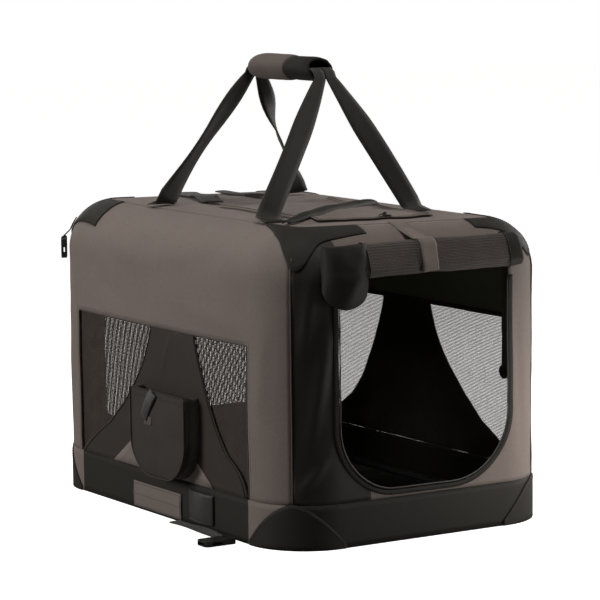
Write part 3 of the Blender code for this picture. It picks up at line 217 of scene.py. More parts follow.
def solidMaterial(name, colour, roughness, metallic=0.0, grain=900, bump=0.12, spread=0.10, specular=0.5, coat=0.0):
    # moulded plastic, painted tube or cast metal: fine grain and slightly uneven gloss
    mat, tree, shader = newMaterial(name, {"Metallic": metallic, "Specular IOR Level": specular, "Coat Weight": coat})
    place = tree.nodes.new("ShaderNodeTexCoord").outputs["Object"]
    fine = addNoise(tree, place, grain, 3)[0]
    broad = addMath(tree, "SUBTRACT", addNoise(tree, place, 45)[0], 0.5)
    shade = addMath(tree, "MULTIPLY", broad, 0.35)
    addTint(tree, colour, addMath(tree, "ADD", shade, 1.0), shader.inputs["Base Color"])
    gloss = addMath(tree, "MULTIPLY", broad, spread)
    tree.links.new(addMath(tree, "ADD", gloss, roughness), shader.inputs["Roughness"])
    addRelief(tree, shader, fine, bump, 0.0003)
    return mat


greyCloth = clothMaterial("greyOxford", (0.170, 0.143, 0.130), sheen=0.06)
blackCloth = clothMaterial("blackOxford", (0.0150, 0.0135, 0.0108), roughness=0.66, sheen=0.02)
# a dark satin that paints shade on the front wall left of the door
doorShadeSatin = clothMaterial("paintedShadeSatin", (0.0165, 0.0158, 0.0152), roughness=0.50, sheen=0.02)
bellCloth = clothMaterial("bellOxford", (0.029, 0.0235, 0.0205), roughness=0.70, sheen=0.05)
liningCloth = clothMaterial("darkLining", (0.190, 0.195, 0.150), roughness=0.9, sheen=0.0)
# the grey cloth made darker for the handle's grip wrap: painted shade
gripShadeCloth = clothMaterial("gripOxfordShaded", (0.105, 0.088, 0.080), sheen=0.06)
keeperCloth = clothMaterial("keeperOxford", (0.0085, 0.0080, 0.0060), roughness=0.66, sheen=0.02)
fleeceCloth = clothMaterial("matFleece", (0.012, 0.012, 0.010), pitch=0.004, thread=0.3, stain=0.3, roughness=0.95,
                            sheen=0.05, bump=0.8)
rollNet = clothMaterial("rolledNetting", (0.060, 0.052, 0.046), pitch=0.0023, thread=1.4, stain=0.45, roughness=0.7,
                        sheen=0.1, bump=0.9)
pouchCloth = clothMaterial("pouchOxford", (0.031, 0.027, 0.023), roughness=0.66, sheen=0.05)
# the pouch's dark cloth made lighter on its gusset: painted light
gussetLitCloth = clothMaterial("gussetOxfordLit", (0.050, 0.043, 0.036), roughness=0.66, sheen=0.05)
squareCloth = clothMaterial("squareOxford", (0.085, 0.073, 0.066), sheen=0.06)
windowNet = netMaterial("windowNetting", (0.040, 0.032, 0.026), 0.0024, 0.54)
blackWebbing = webbingMaterial("blackWebbing", (0.0165, 0.0150, 0.0118))
glossWebbing = webbingMaterial("glossWebbing", (0.018, 0.018, 0.019), ribPitch=0.0030, roughness=0.28)
darkThread = solidMaterial("darkThread", (0.05, 0.045, 0.04), 0.6, grain=2000)
greyThread = solidMaterial("greyThread", (0.11, 0.095, 0.085), 0.6, grain=2000)
pipingMat = solidMaterial("blackPiping", (0.010, 0.0095, 0.009), 0.6, grain=1500, specular=0.2)
tubePaint = solidMaterial("tubePaint", (0.040, 0.040, 0.042), 0.34, metallic=0.3, coat=0.2)
zincMetal = solidMaterial("castZinc", (0.085, 0.083, 0.080), 0.36, metallic=1.0)
bindingMat = solidMaterial("darkBinding", (0.060, 0.053, 0.047), 0.55, grain=1600)
seamCord = solidMaterial("seamCord", (0.105, 0.090, 0.080), 0.7, grain=1500, specular=0.2)
pouchEdge = solidMaterial("pouchEdge", (0.027, 0.024, 0.020), 0.6, grain=1500, specular=0.2)
boardMat = solidMaterial("floorBoard", (0.020, 0.019, 0.018), 0.7, grain=400)
plasticMat = solidMaterial("mouldedPlastic", (0.015, 0.015, 0.016), 0.30, specular=0.5)
print("materials made")


bulge = {"side": 0.0045, "front": 0.0020, "rear": 0.004}
wrinkle = {"size": 0.0015, "scale": 8.0}
creases = {  # along the wall, up it, to along and up, half width, height
    "left": (
        (0.18, 0.44, 0.02, 0.40, 0.020, 0.0020),
        (0.02, 0.40, -0.20, 0.43, 0.022, -0.0018),
        (0.24, 0.40, 0.10, 0.33, 0.018, -0.0015),
        (-0.05, 0.36, -0.28, 0.33, 0.018, 0.0016),
        (-0.30, 0.20, -0.31, 0.34, 0.012, 0.0018),
        (0.31, 0.12, 0.30, 0.30, 0.012, 0.0018),
    ),
    "right": (
        (0.20, 0.43, -0.05, 0.37, 0.022, 0.0020),
        (-0.05, 0.42, -0.22, 0.36, 0.020, -0.0016),
        (0.30, 0.14, 0.31, 0.33, 0.012, 0.0016),
    ),
    "front": ((-0.205, 0.16, -0.175, 0.34, 0.010, 0.0026), (-0.222, 0.088, -0.180, 0.138, 0.006, 0.0030),
              (-0.215, 0.30, -0.200, 0.42, 0.009, 0.0024), (0.19, 0.12, 0.18, 0.36, 0.008, -0.0012)),
    "rear": ((-0.16, 0.41, 0.14, 0.45, 0.018, 0.0018), (-0.19, 0.12, -0.18, 0.36, 0.010, 0.0014)),
}


def near(point, a, b):
    # distance from a flat point to a line, and the share along it
    ax, ay, bx, by = *a, *b
    dx, dy = bx - ax, by - ay
    t = max(0.0, min(1.0, ((point[0] - ax) * dx + (point[1] - ay) * dy) / (dx * dx + dy * dy)))
    return math.hypot(point[0] - ax - dx * t, point[1] - ay - dy * t), t


def clothRise(side, t, h):
    # how far the cloth stands out from the plain shape: bulge, creases and small unevenness
    reach = crate["cornerX"] if side in ("front", "rear") else crate["cornerY"]
    out = bulge["side" if side in ("left", "right") else side]
    across = max(0.0, 1 - (t / (reach + 0.05)) ** 2)
    up = max(0.0, math.sin(math.pi * min(1.0, max(0.0, (h - 0.07) / 0.42))))
    rise = out * across * up
    for ax, ay, bx, by, width, size in creases[side]:
        far, share = near((t, h), (ax, ay), (bx, by))
        rise += 1.6 * size * math.exp(-((far / width) ** 2)) * math.sin(math.pi * (0.1 + 0.8 * share))
    seed = {"left": 3.0, "right": 17.0, "front": 29.0, "rear": 41.0}[side]
    rise += wrinkle["size"] * noise.fractal(Vector((t * wrinkle["scale"], h * wrinkle["scale"], seed)), 0.8, 2.0, 3)
    hold = min(1.0, max(0.0, (h - 0.07) / 0.03)) * min(1.0, max(0.0, (crate["seamUp"] - h) / 0.03))
    return rise * hold


def skin(side, t, h, lift=0.0, quiet=False):
    # a point on the cover: t along the wall from its middle, h up its profile, lift outwards
    cx, cy, plan = crate["cornerX"], crate["cornerY"], crate["plan"]
    flip = 1 if side in ("right", "rear") else -1
    straight = cy if side in ("left", "right") else cx
    rise = lift + (0.0 if quiet else clothRise(side, t, h))
    turn = max(-1.0, min(1.0, (abs(t) - straight) / plan)) if abs(t) > straight else 0.0
    turn = math.copysign(turn, t)
    along = max(-straight, min(straight, t))
    if h <= crate["edgeStart"]:
        z, reach = h, plan + rise
    else:
        angle = (h - crate["edgeStart"]) / crate["edge"]
        radius = crate["edge"] + rise
        z = crate["edgeStart"] + radius * math.sin(angle)
        reach = plan - crate["edge"] + radius * math.cos(angle)
    if side in ("left", "right"):
        x, y = flip * (cx + reach * math.cos(turn)), along + reach * math.sin(turn)
    else:
        x, y = along + reach * math.sin(turn), flip * (cy + reach * math.cos(turn))
    return Vector((x, y, settled(x, z)))


topFolds = (  # from x and y to x and y, half width, height
    (-0.150, -0.262, 0.095, -0.110, 0.014, 0.0060),
    (-0.100, -0.060, -0.030, 0.140, 0.030, -0.0030),
    (-0.160, 0.020, -0.060, 0.220, 0.022, 0.0035),
    (0.020, 0.060, 0.140, 0.010, 0.020, 0.0030),
)


def topHeight(x, y):
    # the top panel's height in plan, with its crown and its loose folds
    cx, cy = crate["cornerX"], crate["cornerY"]
    flat = crate["plan"] - crate["edge"]
    qx, qy = max(abs(x) - cx, 0.0), max(abs(y) - cy, 0.0)
    over = max(0.0, math.hypot(qx, qy) - flat)
    edge = crate["edge"] - math.sqrt(max(0.0, crate["edge"] ** 2 - over ** 2))
    riseX = max(0.0, 1 - (x / (cx + flat)) ** 2)
    riseY = max(0.0, 1 - (y / (cy + flat)) ** 2)
    z = settled(x, crate["height"] + crate["crown"] * riseX * riseY - edge)
    for ax, ay, bx, by, width, size in topFolds:
        far, share = near((x, y), (ax, ay), (bx, by))
        z += size * math.exp(-((far / width) ** 2)) * math.sin(math.pi * (0.12 + 0.76 * share))
    calm = min(1.0, riseX * 4) * min(1.0, riseY * 4)
    return z + 0.0024 * calm * noise.fractal(Vector((x * 9, y * 9, 71.0)), 0.8, 2.0, 3)


def newPiece(name, bm, material, body, replaced=(), slotName="grey_cloth"):
    bm.verts.index_update()
    bmesh.ops.translate(bm, vec=crate["shift"], verts=bm.verts)
    mesh = bpy.data.meshes.new(name)
    bm.to_mesh(mesh)
    bm.free()
    mesh.shade_smooth()
    mesh.materials.append(material)
    piece = bpy.data.objects.new(name, mesh)
    bpy.context.scene.collection.objects.link(piece)
    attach(piece, body)
    if replaced:
        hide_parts(*replaced)
    return piece


def thicken(piece, thickness, offset=-1.0, lining=None):
    shell = piece.modifiers.new("cloth", "SOLIDIFY")
    shell.thickness = thickness
    shell.offset = offset
    if lining:
        piece.data.materials.append(lining)
        shell.material_offset = len(piece.data.materials) - 1


def clothGrid(columns, rows):
    # a flat grid of 0 to 1 both ways, with a uv layer that later holds metres
    bm = bmesh.new()
    bmesh.ops.create_grid(bm, x_segments=columns, y_segments=rows, size=0.5)
    bmesh.ops.translate(bm, vec=(0.5, 0.5, 0), verts=bm.verts)
    bm.loops.layers.uv.new("cloth")
    return bm


def setCloth(bm, metres):
    # writes each corner's place on the cloth, in metres, from its vertex
    layer = bm.loops.layers.uv.get("cloth") or bm.loops.layers.uv.new("cloth")
    for face in bm.faces:
        for loop in face.loops:
            loop[layer].uv = metres(loop.vert)


def layCloth(bm, flatPlace, place, size=(1, 1)):
    # flatPlace gives the place on the cloth from the grid, size turns it to metres, and place gives the point in space
    flat = {vert: flatPlace(vert.co.x, vert.co.y) for vert in bm.verts}
    setCloth(bm, lambda vert: (flat[vert][0] * size[0], flat[vert][1] * size[1]))
    for vert in bm.verts:
        vert.co = place(*flat[vert])


def faceAway(bm, away):
    # turns all faces the way that away gives for each face
    bmesh.ops.recalc_face_normals(bm, faces=bm.faces)
    if sum((face.normal.dot(away(face)) for face in bm.faces), 0.0) < 0:
        bmesh.ops.reverse_faces(bm, faces=bm.faces)


def span(low, high, share):
    return low + (high - low) * share


def overBox(low, high):
    return lambda u, v: (span(low[0], high[0], u), span(low[1], high[1], v))


def sizedGrid(low, high, cell):
    # a flat grid from low to high, in cells of about the given size
    bm = clothGrid(round((high[0] - low[0]) / cell), round((high[1] - low[1]) / cell))
    place = overBox(low, high)
    for vert in bm.verts:
        vert.co.x, vert.co.y = place(vert.co.x, vert.co.y)
    return bm


def roundedDistance(x, y, low, high, radius):
    # how far a flat point is outside a rounded rectangle, below zero inside
    cx, cy = (low[0] + high[0]) / 2, (low[1] + high[1]) / 2
    hx, hy = (high[0] - low[0]) / 2 - radius, (high[1] - low[1]) / 2 - radius
    qx, qy = abs(x - cx) - hx, abs(y - cy) - hy
    outside = math.hypot(max(qx, 0), max(qy, 0))
    return outside + min(max(qx, qy), 0.0) - radius


def cutHole(bm, distance, cell):
    # drops what lies inside the outline, then draws the ragged edge onto it
    inside = [v for v in bm.verts if distance(v.co.x, v.co.y) < -cell * 0.5]
    bmesh.ops.delete(bm, geom=inside, context="VERTS")
    rim = {v for e in bm.edges if e.is_boundary for v in e.verts}
    for vert in rim:
        for _ in range(4):
            gap = distance(vert.co.x, vert.co.y)
            if abs(gap) > cell * 1.6:
                break
            step = cell * 0.05
            gx = (distance(vert.co.x + step, vert.co.y) - distance(vert.co.x - step, vert.co.y)) / (2 * step)
            gy = (distance(vert.co.x, vert.co.y + step) - distance(vert.co.x, vert.co.y - step)) / (2 * step)
            size = max(1e-6, gx * gx + gy * gy)
            vert.co.x -= gap * gx / size
            vert.co.y -= gap * gy / size


def wallSheet(name, side, low, high, cell, material, lift=0.0, hole=None, replaced=(), slotName="grey_cloth"):
    # a sheet on the cover, from low to high in metres along the wall and up it
    bm = sizedGrid(low, high, cell)
    if hole:
        cutHole(bm, hole, cell)
    layCloth(bm, lambda x, y: (x, y), lambda t, h: skin(side, t, h, lift))
    if side in ("left", "rear"):
        bmesh.ops.reverse_faces(bm, faces=bm.faces)
    return newPiece(name, bm, material, "base", replaced, slotName)


def tubeAlong(points, radius, closed=False, sides=6):
    # a round cord or piping along points in space
    bm = bmesh.new()
    rings = []
    count = len(points)
    up = Vector((0, 0, 1))
    for i, centre in enumerate(points):
        before = points[i - 1] if closed or i else points[0]
        after = points[(i + 1) % count] if closed or i < count - 1 else points[-1]
        tangent = (after - before).normalized()
        across = tangent.cross(up)
        if across.length < 0.05:
            across = tangent.cross(Vector((0, 1, 0)))
        across.normalize()
        high = across.cross(tangent).normalized()
        made = bmesh.ops.create_circle(bm, cap_ends=False, segments=sides, radius=radius)
        turn = Matrix((across, high, tangent)).transposed().to_4x4()
        bmesh.ops.transform(bm, matrix=Matrix.Translation(centre) @ turn, verts=made["verts"])
        rings.append([e for e in bm.edges if e.verts[0] in made["verts"] and e.verts[1] in made["verts"]])
    for first, second in zip(rings, rings[1:] + (rings[:1] if closed else [])):
        bmesh.ops.bridge_loops(bm, edges=first + second)
    if not closed:
        bmesh.ops.holes_fill(bm, edges=bm.edges, sides=sides)
    bmesh.ops.recalc_face_normals(bm, faces=bm.faces)
    setCloth(bm, lambda vert: (vert.co.x + vert.co.y, vert.co.z))
    return bm


def runLengths(steps):
    # how far along each point lies, from the steps between them
    lengths = [0.0]
    for step in steps:
        lengths.append(lengths[-1] + step)
    return lengths


def ribbonAlong(points, widths, facing, rowsAcross=2, cup=0.0):
    # a flat strap along points; facing gives the way its face looks at each one
    bm = clothGrid(rowsAcross, len(points) - 1)
    lengths = runLengths((b - a).length for a, b in zip(points, points[1:]))
    frames = []
    for i, centre in enumerate(points):
        before, after = points[max(0, i - 1)], points[min(len(points) - 1, i + 1)]
        tangent = (after - before).normalized()
        normal = (facing[i] - tangent * facing[i].dot(tangent)).normalized()
        frames.append((centre, tangent.cross(normal).normalized(), normal))
    grid = {vert: (vert.co.x - 0.5, round(vert.co.y * (len(points) - 1))) for vert in bm.verts}
    setCloth(bm, lambda vert: (grid[vert][0] * widths[grid[vert][1]], lengths[grid[vert][1]]))
    for vert, (share, row) in grid.items():
        centre, across, normal = frames[row]
        vert.co = centre + across * share * widths[row] + normal * cup * (1 - 4 * share * share)
    return bm


def curvePoints(points, steps):
    # a smooth curve through the points
    places = [Vector(p) for p in points]
    ends = [2 * places[0] - places[1]] + places + [2 * places[-1] - places[-2]]
    path = []
    for i in range(1, len(ends) - 2):
        a, b, c, d = ends[i - 1:i + 3]
        for k in range(steps):
            t = k / steps
            bend = (2 * a - 5 * b + 4 * c - d) * t * t + (3 * b - a - 3 * c + d) * t ** 3
            path.append(((2 * b) + (c - a) * t + bend) / 2)
    path.append(places[-1])
    return path


def stitchRow(name, places, body, material, pitch=0.0042, length=0.0028, width=0.0009):
    # short thread dashes along a line of (point, outward normal) pairs
    bm = bmesh.new()
    run = 0.0
    nextAt = pitch / 2
    for (a, na), (b, _) in zip(places, places[1:]):
        step = (b - a).length
        while step > 1e-9 and nextAt < run + step:
            share = (nextAt - run) / step
            centre = a.lerp(b, share) + na * width * 0.25
            tangent = (b - a).normalized()
            across = na.cross(tangent).normalized()
            made = bmesh.ops.create_icosphere(bm, subdivisions=1, radius=1.0)["verts"]
            turn = Matrix((tangent * length / 2, across * width / 2, na * width / 2)).transposed().to_4x4()
            bmesh.ops.transform(bm, matrix=Matrix.Translation(centre) @ turn, verts=made)
            nextAt += pitch
        run += step
    return newPiece(name, bm, material, body)


def onWall(side, line, lift):
    # (point, outward normal) pairs for a line of places on a wall
    made = []
    for t, h in line:
        place = skin(side, t, h, lift)
        made.append((place, (skin(side, t, h, lift + 0.01) - place).normalized()))
    return made


def wallLine(side, corners, lift, steps=24):
    # straight runs from corner to corner on a wall
    line = []
    for start, end in zip(corners, corners[1:]):
        place = overBox(start, end)
        line += [place(i / steps, i / steps) for i in range(steps)]
    return onWall(side, line + [corners[-1]], lift)


def squashWall(piece):
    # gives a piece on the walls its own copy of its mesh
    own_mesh(piece)


def sewCord(name, points, radius, material, slotName="black_cloth"):
    # a thin cord on the walls
    squashWall(newPiece(name, tubeAlong(points, radius), material, "base", slotName=slotName))


def sewStitches(name, places, material, **sizes):
    # a row of stitches on the walls
    squashWall(stitchRow(name, places, "base", material, **sizes))


camera = {
    "eye": Vector((-2.5679, -4.0981, 0.9499)),
    "aim": Vector((0, 0, 0.2295)),
    "roll": math.radians(-0.64),
    "lens": 177.0,
    "shift": (0.0095, 0.104),
}


def makeCamera():
    cam = bpy.data.cameras.new("camera")
    cam.sensor_width = 36
    cam.lens = camera["lens"]
    cam.shift_x, cam.shift_y = camera["shift"]
    cam.clip_end = 60
    obj = bpy.data.objects.new("camera", cam)
    bpy.context.scene.collection.objects.link(obj)
    eye = camera["eye"] + crate["shift"]
    look = (camera["aim"] + crate["shift"] - eye).normalized()
    turn = look.to_track_quat("-Z", "Y").to_matrix() @ Matrix.Rotation(camera["roll"], 3, "Z")
    obj.location = eye
    obj.rotation_euler = turn.to_euler()
    bpy.context.scene.camera = obj


lamps = {  # place, aim, size, power, colour
    "leftBox": ((-2.8, 1.0, 1.2), (0, -0.10, 0.25), 1.1, 58, (1, 0.960, 0.925)),
    "rightNear": ((0.46, -0.66, 0.17), (0.14, -0.39, 0.14), 0.20, 2.0, (1, 0.950, 0.91)),
    "rightBox": ((2.6, 0.4, 1.0), (0, 0, 0.25), 1.4, 34, (1, 0.965, 0.935)),
    "overhead": ((-0.1, -0.7, 2.5), (0, -0.2, 0.4), 1.2, 30, (1, 0.955, 0.92)),
    "rearBox": ((0.3, 3.2, 1.2), (0, 0, 0.25), 1.5, 17, (1, 0.97, 0.95)),
}
studio = {
    "ambient": (0.034, 0.032, 0.030, 1),
    "floorSize": 12,
    "floorDrop": -0.0005,
    "floorTone": 0.26,  # as the object sees it
    "floorLift": 0.60,  # added where the camera sees it
    "floorGlow": 0.97,
}


def makeLights():
    for name, (place, aim, size, power, colour) in lamps.items():
        lamp = bpy.data.lights.new(name, "AREA")
        lamp.size = size
        lamp.energy = power
        lamp.color = colour
        obj = bpy.data.objects.new(name, lamp)
        obj.location = place
        obj.rotation_euler = (Vector(aim) - Vector(place)).to_track_quat("-Z", "Y").to_euler()
        obj.visible_camera = False
        bpy.context.scene.collection.objects.link(obj)
    world = bpy.data.worlds.new("studio")
    bpy.context.scene.world = world
    world.use_nodes = True
    tree = world.node_tree
    back = tree.nodes["Background"]
    back.inputs["Strength"].default_value = 1.0
    rays = tree.nodes.new("ShaderNodeLightPath").outputs
    mix = tree.nodes.new("ShaderNodeMix")
    mix.data_type = "RGBA"
    mix.inputs[6].default_value = studio["ambient"]
    mix.inputs[7].default_value = (1, 1, 1, 1)
    tree.links.new(addMath(tree, "MAXIMUM", rays["Is Camera Ray"], rays["Is Transmission Ray"]), mix.inputs[0])
    tree.links.new(mix.outputs[2], back.inputs["Color"])


def makeFloor():
    bm = bmesh.new()
    bmesh.ops.create_grid(bm, x_segments=1, y_segments=1, size=studio["floorSize"])
    mesh = bpy.data.meshes.new("floor")
    bm.to_mesh(mesh)
    bm.free()
    mat, tree, shader = newMaterial("paleFloor", {
        "Roughness": 0.9, "Specular IOR Level": 0.1, "Emission Color": (1, 1, 1, 1),
    })
    seen = tree.nodes.new("ShaderNodeLightPath").outputs["Is Camera Ray"]
    tree.links.new(addMath(tree, "MULTIPLY", seen, studio["floorGlow"]), shader.inputs["Emission Strength"])
    level = addMath(tree, "MULTIPLY", seen, studio["floorLift"])
    tree.links.new(addMath(tree, "ADD", level, studio["floorTone"]), shader.inputs["Base Color"])
    mesh.materials.append(mat)
    floor = bpy.data.objects.new("floor", mesh)
    floor.location.z = studio["floorDrop"]
    bpy.context.scene.collection.objects.link(floor)


makeCamera()
makeLights()
makeFloor()
bpy.context.scene.view_settings.view_transform = "Standard"
print("camera, lights and floor made")


wall = {"cell": 0.008, "thickness": 0.0016, "footGap": 0.0003, "topGap": 0.0004}
sideWindow = {
    "low": (-0.272, 0.0703),
    "high": (0.272, 0.310),
    "radius": 0.003,
    "piping": 0.00095,
    "stitchOut": 0.0055,
    "area": 0.544 * 0.240,
}
rearWindow = {"low": (-0.150, 0.100), "high": (0.150, 0.390), "radius": 0.02, "area": 0.087}
door = {
    "low": (-0.160, 0.081),
    "high": (0.160, 0.452),
    "lowRadius": 0.112,
    "highRadius": 0.030,
    "area": 0.112,
    # where the painted shade left of the door ends, and how far right and how high it reaches at the wall's foot
    "shadeTo": -0.150,
    "shadeFootTo": -0.104,
    "shadeFootHigh": 0.150,
}
netting = {"cell": 0.012, "lift": -0.0035, "side": 0.008, "top": 0.008, "foot": 0.005, "rear": 0.006}


def makeWall(name, side, reach, hole, node, cell=wall["cell"], paint=None):
    # one wall of the cover, from the band up to the top's seam, with its opening
    low = (-reach - halfArc, crate["band"] + wall["footGap"])
    high = (reach + halfArc, crate["seamUp"] - wall["topGap"])
    piece = wallSheet(name, side, low, high, cell, greyCloth, 0.0, hole, (node,))
    if paint:
        paint(piece)
    thicken(piece, wall["thickness"], lining=liningCloth)
    squashWall(piece)


def makeNet(name, side, low, high, node):
    net = wallSheet(name, side, low, high, netting["cell"], windowNet, netting["lift"], None, (node,), "black_net")
    squashWall(net)


def windowDistance(t, h):
    # the hole runs on below the wall's foot, so that it is open there
    return roundedDistance(t, h, (sideWindow["low"][0], 0.0), sideWindow["high"], sideWindow["radius"])


def makeWindow(side):
    (x0, z0), (x1, z1) = sideWindow["low"], sideWindow["high"]
    beside, above, below = netting["side"], netting["top"], netting["foot"]
    makeNet(f"windowNet_{side}", side, (x0 - beside, z0 - below), (x1 + beside, z1 + above),
            f"window_net_{side}")
    # the binding round the window, open at its foot, and a row of stitching beside it
    corner = sideWindow["radius"]
    loop = [(x1, z0)]
    for cx, start in ((x1 - corner, 0), (x0 + corner, 90)):
        for i in range(5):
            angle = math.radians(start + 90 * i / 4)
            loop.append((cx + corner * math.cos(angle), z1 - corner + corner * math.sin(angle)))
    loop.append((x0, z0))
    points = []
    for a, b in zip(loop, loop[1:]):
        steps = max(1, int(math.hypot(b[0] - a[0], b[1] - a[1]) / 0.01))
        place = overBox(a, b)
        points += [skin(side, *place(i / steps, i / steps), 0.0004) for i in range(steps)]
    points.append(skin(side, *loop[-1], 0.0004))
    sewCord(f"windowPiping_{side}", points, sideWindow["piping"], bindingMat)
    out = sideWindow["stitchOut"]
    corners = [(x0 - out, z0), (x0 - out, z1 + out), (x1 + out, z1 + out), (x1 + out, z0)]
    sewStitches(f"windowStitch_{side}", wallLine(side, corners, 0.0001), greyThread)


def makeSideWalls():
    for side in ("left", "right"):
        makeWall(f"sideWall_{side}", side, crate["cornerY"], windowDistance, f"side_wall_{side}")
        makeWindow(side)


def doorDistance(t, h):
    radius = door["lowRadius"] if h < (door["low"][1] + door["high"][1]) / 2 else door["highRadius"]
    return roundedDistance(t, h, door["low"], door["high"], radius)


def rearDistance(t, h):
    return roundedDistance(t, h, rearWindow["low"], rearWindow["high"], rearWindow["radius"])


def paintShadeLeftOfDoor(piece):
    # the grey cloth left of the door, and a little further right near its foot, is swapped for dark satin as painted
    # shade
    piece.data.materials.append(doorShadeSatin)
    for face in piece.data.polygons:
        x, z = face.center.x - crate["shift"].x, face.center.z
        if x < door["shadeTo"] or (x < door["shadeFootTo"] and z < door["shadeFootHigh"]):
            face.material_index = 1


def makeEndWalls():
    reach = crate["cornerX"]
    makeWall("frontWall", "front", reach, doorDistance, "front_wall", 0.006, paintShadeLeftOfDoor)
    makeWall("rearWall", "rear", reach, rearDistance, "rear_wall")
    low = [value - netting["rear"] for value in rearWindow["low"]]
    high = [value + netting["rear"] for value in rearWindow["high"]]
    makeNet("rearNet", "rear", low, high, "rear_window_net")


makeSideWalls()
makeEndWalls()
print("walls made")


topPanel = {"margin": 0.062, "flat": (0.373, 0.623)}


def topOutline(x, y):
    # below zero inside the top panel's rounded outline
    reach = crate["plan"] - crate["edge"] + crate["edge"] * math.cos(crate["seamTurn"] + 0.004)
    hx, hy = crate["cornerX"] + reach, crate["cornerY"] + reach
    return roundedDistance(x, y, (-hx, -hy), (hx, hy), reach)


def makeTopPanel():
    hx, hy = crate["cornerX"] + topPanel["margin"], crate["cornerY"] + topPanel["margin"]
    bm = sizedGrid((-hx, -hy), (hx, hy), wall["cell"])
    cutHole(bm, lambda x, y: -topOutline(x, y), wall["cell"])
    layCloth(bm, lambda x, y: (x, y), lambda x, y: Vector((x, y, topHeight(x, y))))
    cover = newPiece("topPanel", bm, greyCloth, "top", ("top_cover",))
    thicken(cover, wall["thickness"], lining=liningCloth)


makeTopPanel()
print("top made")


band = {"cell": 0.010, "lift": 0.0004, "thickness": 0.002, "hemFrom": 0.272}
guard = {
    "low": math.radians(13),
    "wing": 0.052,
    "shift": 0.010,
    "thickness": 0.0015,
    "longEnd": (0.153, 0.031),  # an arm's reach and its width at the tip
    "shortEnd": (0.110, 0.031),
    "side": (0.137, 0.004),
    "rearSide": (0.125, 0.070),
    "tongue": 0.028,
    "rearTongue": 0.050,
    "lift": 0.0018,
    "stitchRows": ((0.004, "A"), (0.0085, "B")),
    "stitchLift": (0.0019, 0.012),
    "baseArm": 0.085,
    "baseHeight": 0.072,
    "baseTip": 0.008,
    "baseLift": 0.0026,
    "baseStitchLift": (0.0027, 0.013),
}


def makeBand():
    for side in ("left", "right", "front", "rear"):
        long = side in ("left", "right")
        reach = crate["cornerY" if long else "cornerX"] + halfArc
        piece = wallSheet(f"baseBand_{side}", side, (-reach, 0.0), (reach, crate["band"]), band["cell"], blackCloth,
                          band["lift"], None, ("base_band",) if side == "left" else (), "black_cloth")
        if long:
            piece.data.materials.append(greyCloth)
            for face in piece.data.polygons:
                if abs(face.center.y - crate["shift"].y) > band["hemFrom"]:
                    face.material_index = 1
        thicken(piece, band["thickness"])


def cornerPoint(sideX, sideY, s, h, lift):
    # s runs from the corner's middle along the end wall (above zero) or the side wall (below zero)
    if s >= 0:
        side = "front" if sideY < 0 else "rear"
        t = sideX * (crate["cornerX"] + halfArc - s)
    else:
        side = "left" if sideX < 0 else "right"
        t = sideY * (crate["cornerY"] + halfArc + s)
    return skin(side, t, h, lift)


def baseGuardHeight(s):
    lobe = max(0.0, 1 - min(1.0, abs(s) / guard["baseArm"]) ** 1.7) ** 1.1
    return guard["baseTip"] + (guard["baseHeight"] - guard["baseTip"]) * lobe


def guardPiece(name, bm, body, node, middle):
    faceAway(bm, lambda face: face.calc_center_median() - Vector((0, 0, middle)))
    thicken(newPiece(name, bm, blackCloth, body, (node,), "black_cloth"), guard["thickness"])


def guardStitch(name, body, corner, line, lifts):
    # a stitch row from places on a corner, with the thread at the first lift, facing the second
    places = [[cornerPoint(*corner, s, h, lift) for lift in lifts] for s, h in line]
    stitchRow(name, [(a, (b - a).normalized()) for a, b in places], body, darkThread)


def makeTopGuard(name, corner, endShape, sideShape, tongue):
    endArm, sideArm = endShape[0], sideShape[0]

    def edgeAt(s):
        # the guard's lower edge: a wing on each wall and a tongue down the corner
        arm, tip = endShape if s > 0 else sideShape
        wing = tip + (guard["wing"] - tip) * (1 - min(1.0, abs(s) / arm))
        full = crate["edge"] * (crate["seamTurn"] - guard["low"])
        away = (s - guard["shift"]) / tongue
        return crate["seamUp"] - wing - (full - guard["wing"]) * math.exp(-away ** 2)

    bm = clothGrid(48, 12)
    layCloth(bm, lambda x, y: (span(-sideArm, endArm, x), y),
             lambda s, up: cornerPoint(*corner, s, span(edgeAt(s), crate["seamUp"], up), guard["lift"]), (1, 0.07))
    guardPiece(f"topGuard_{name}", bm, "top", f"top_guard_{name}", 0.35)
    places = [span(-sideArm * 0.985, endArm * 0.985, i / 60) for i in range(61)]
    for lift, tag in guard["stitchRows"]:
        line = [(s, min(crate["seamUp"] - 0.002, edgeAt(s) + lift)) for s in places]
        guardStitch(f"topGuardStitch{tag}_{name}", "top", corner, line, guard["stitchLift"])


def makeBaseGuard(name, corner):
    arm = guard["baseArm"]

    def flatPlace(x, y):
        s = span(-arm, arm, x)
        return s, y * baseGuardHeight(s)

    bm = clothGrid(32, 8)
    layCloth(bm, flatPlace, lambda s, h: cornerPoint(*corner, s, h, guard["baseLift"]))
    guardPiece(f"baseGuard_{name}", bm, "base", f"base_guard_{name}", 0.05)
    places = [span(-arm + 0.003, arm - 0.003, i / 40) for i in range(41)]
    line = [(s, max(0.004, baseGuardHeight(s) - 0.004)) for s in places]
    guardStitch(f"baseGuardStitch_{name}", "base", corner, line, guard["baseStitchLift"])


def makeGuards():
    for name, corner, endShape, sideShape, tongue in (
        ("front_left", (-1, -1), "longEnd", "side", "tongue"),
        ("front_right", (1, -1), "shortEnd", "side", "tongue"),
        ("rear_left", (-1, 1), "shortEnd", "rearSide", "rearTongue"),
        ("rear_right", (1, 1), "shortEnd", "rearSide", "rearTongue"),
    ):
        makeTopGuard(name, corner, guard[endShape], guard[sideShape], guard[tongue])
        makeBaseGuard(name, corner)


makeBand()
makeGuards()
print("band and guards made")


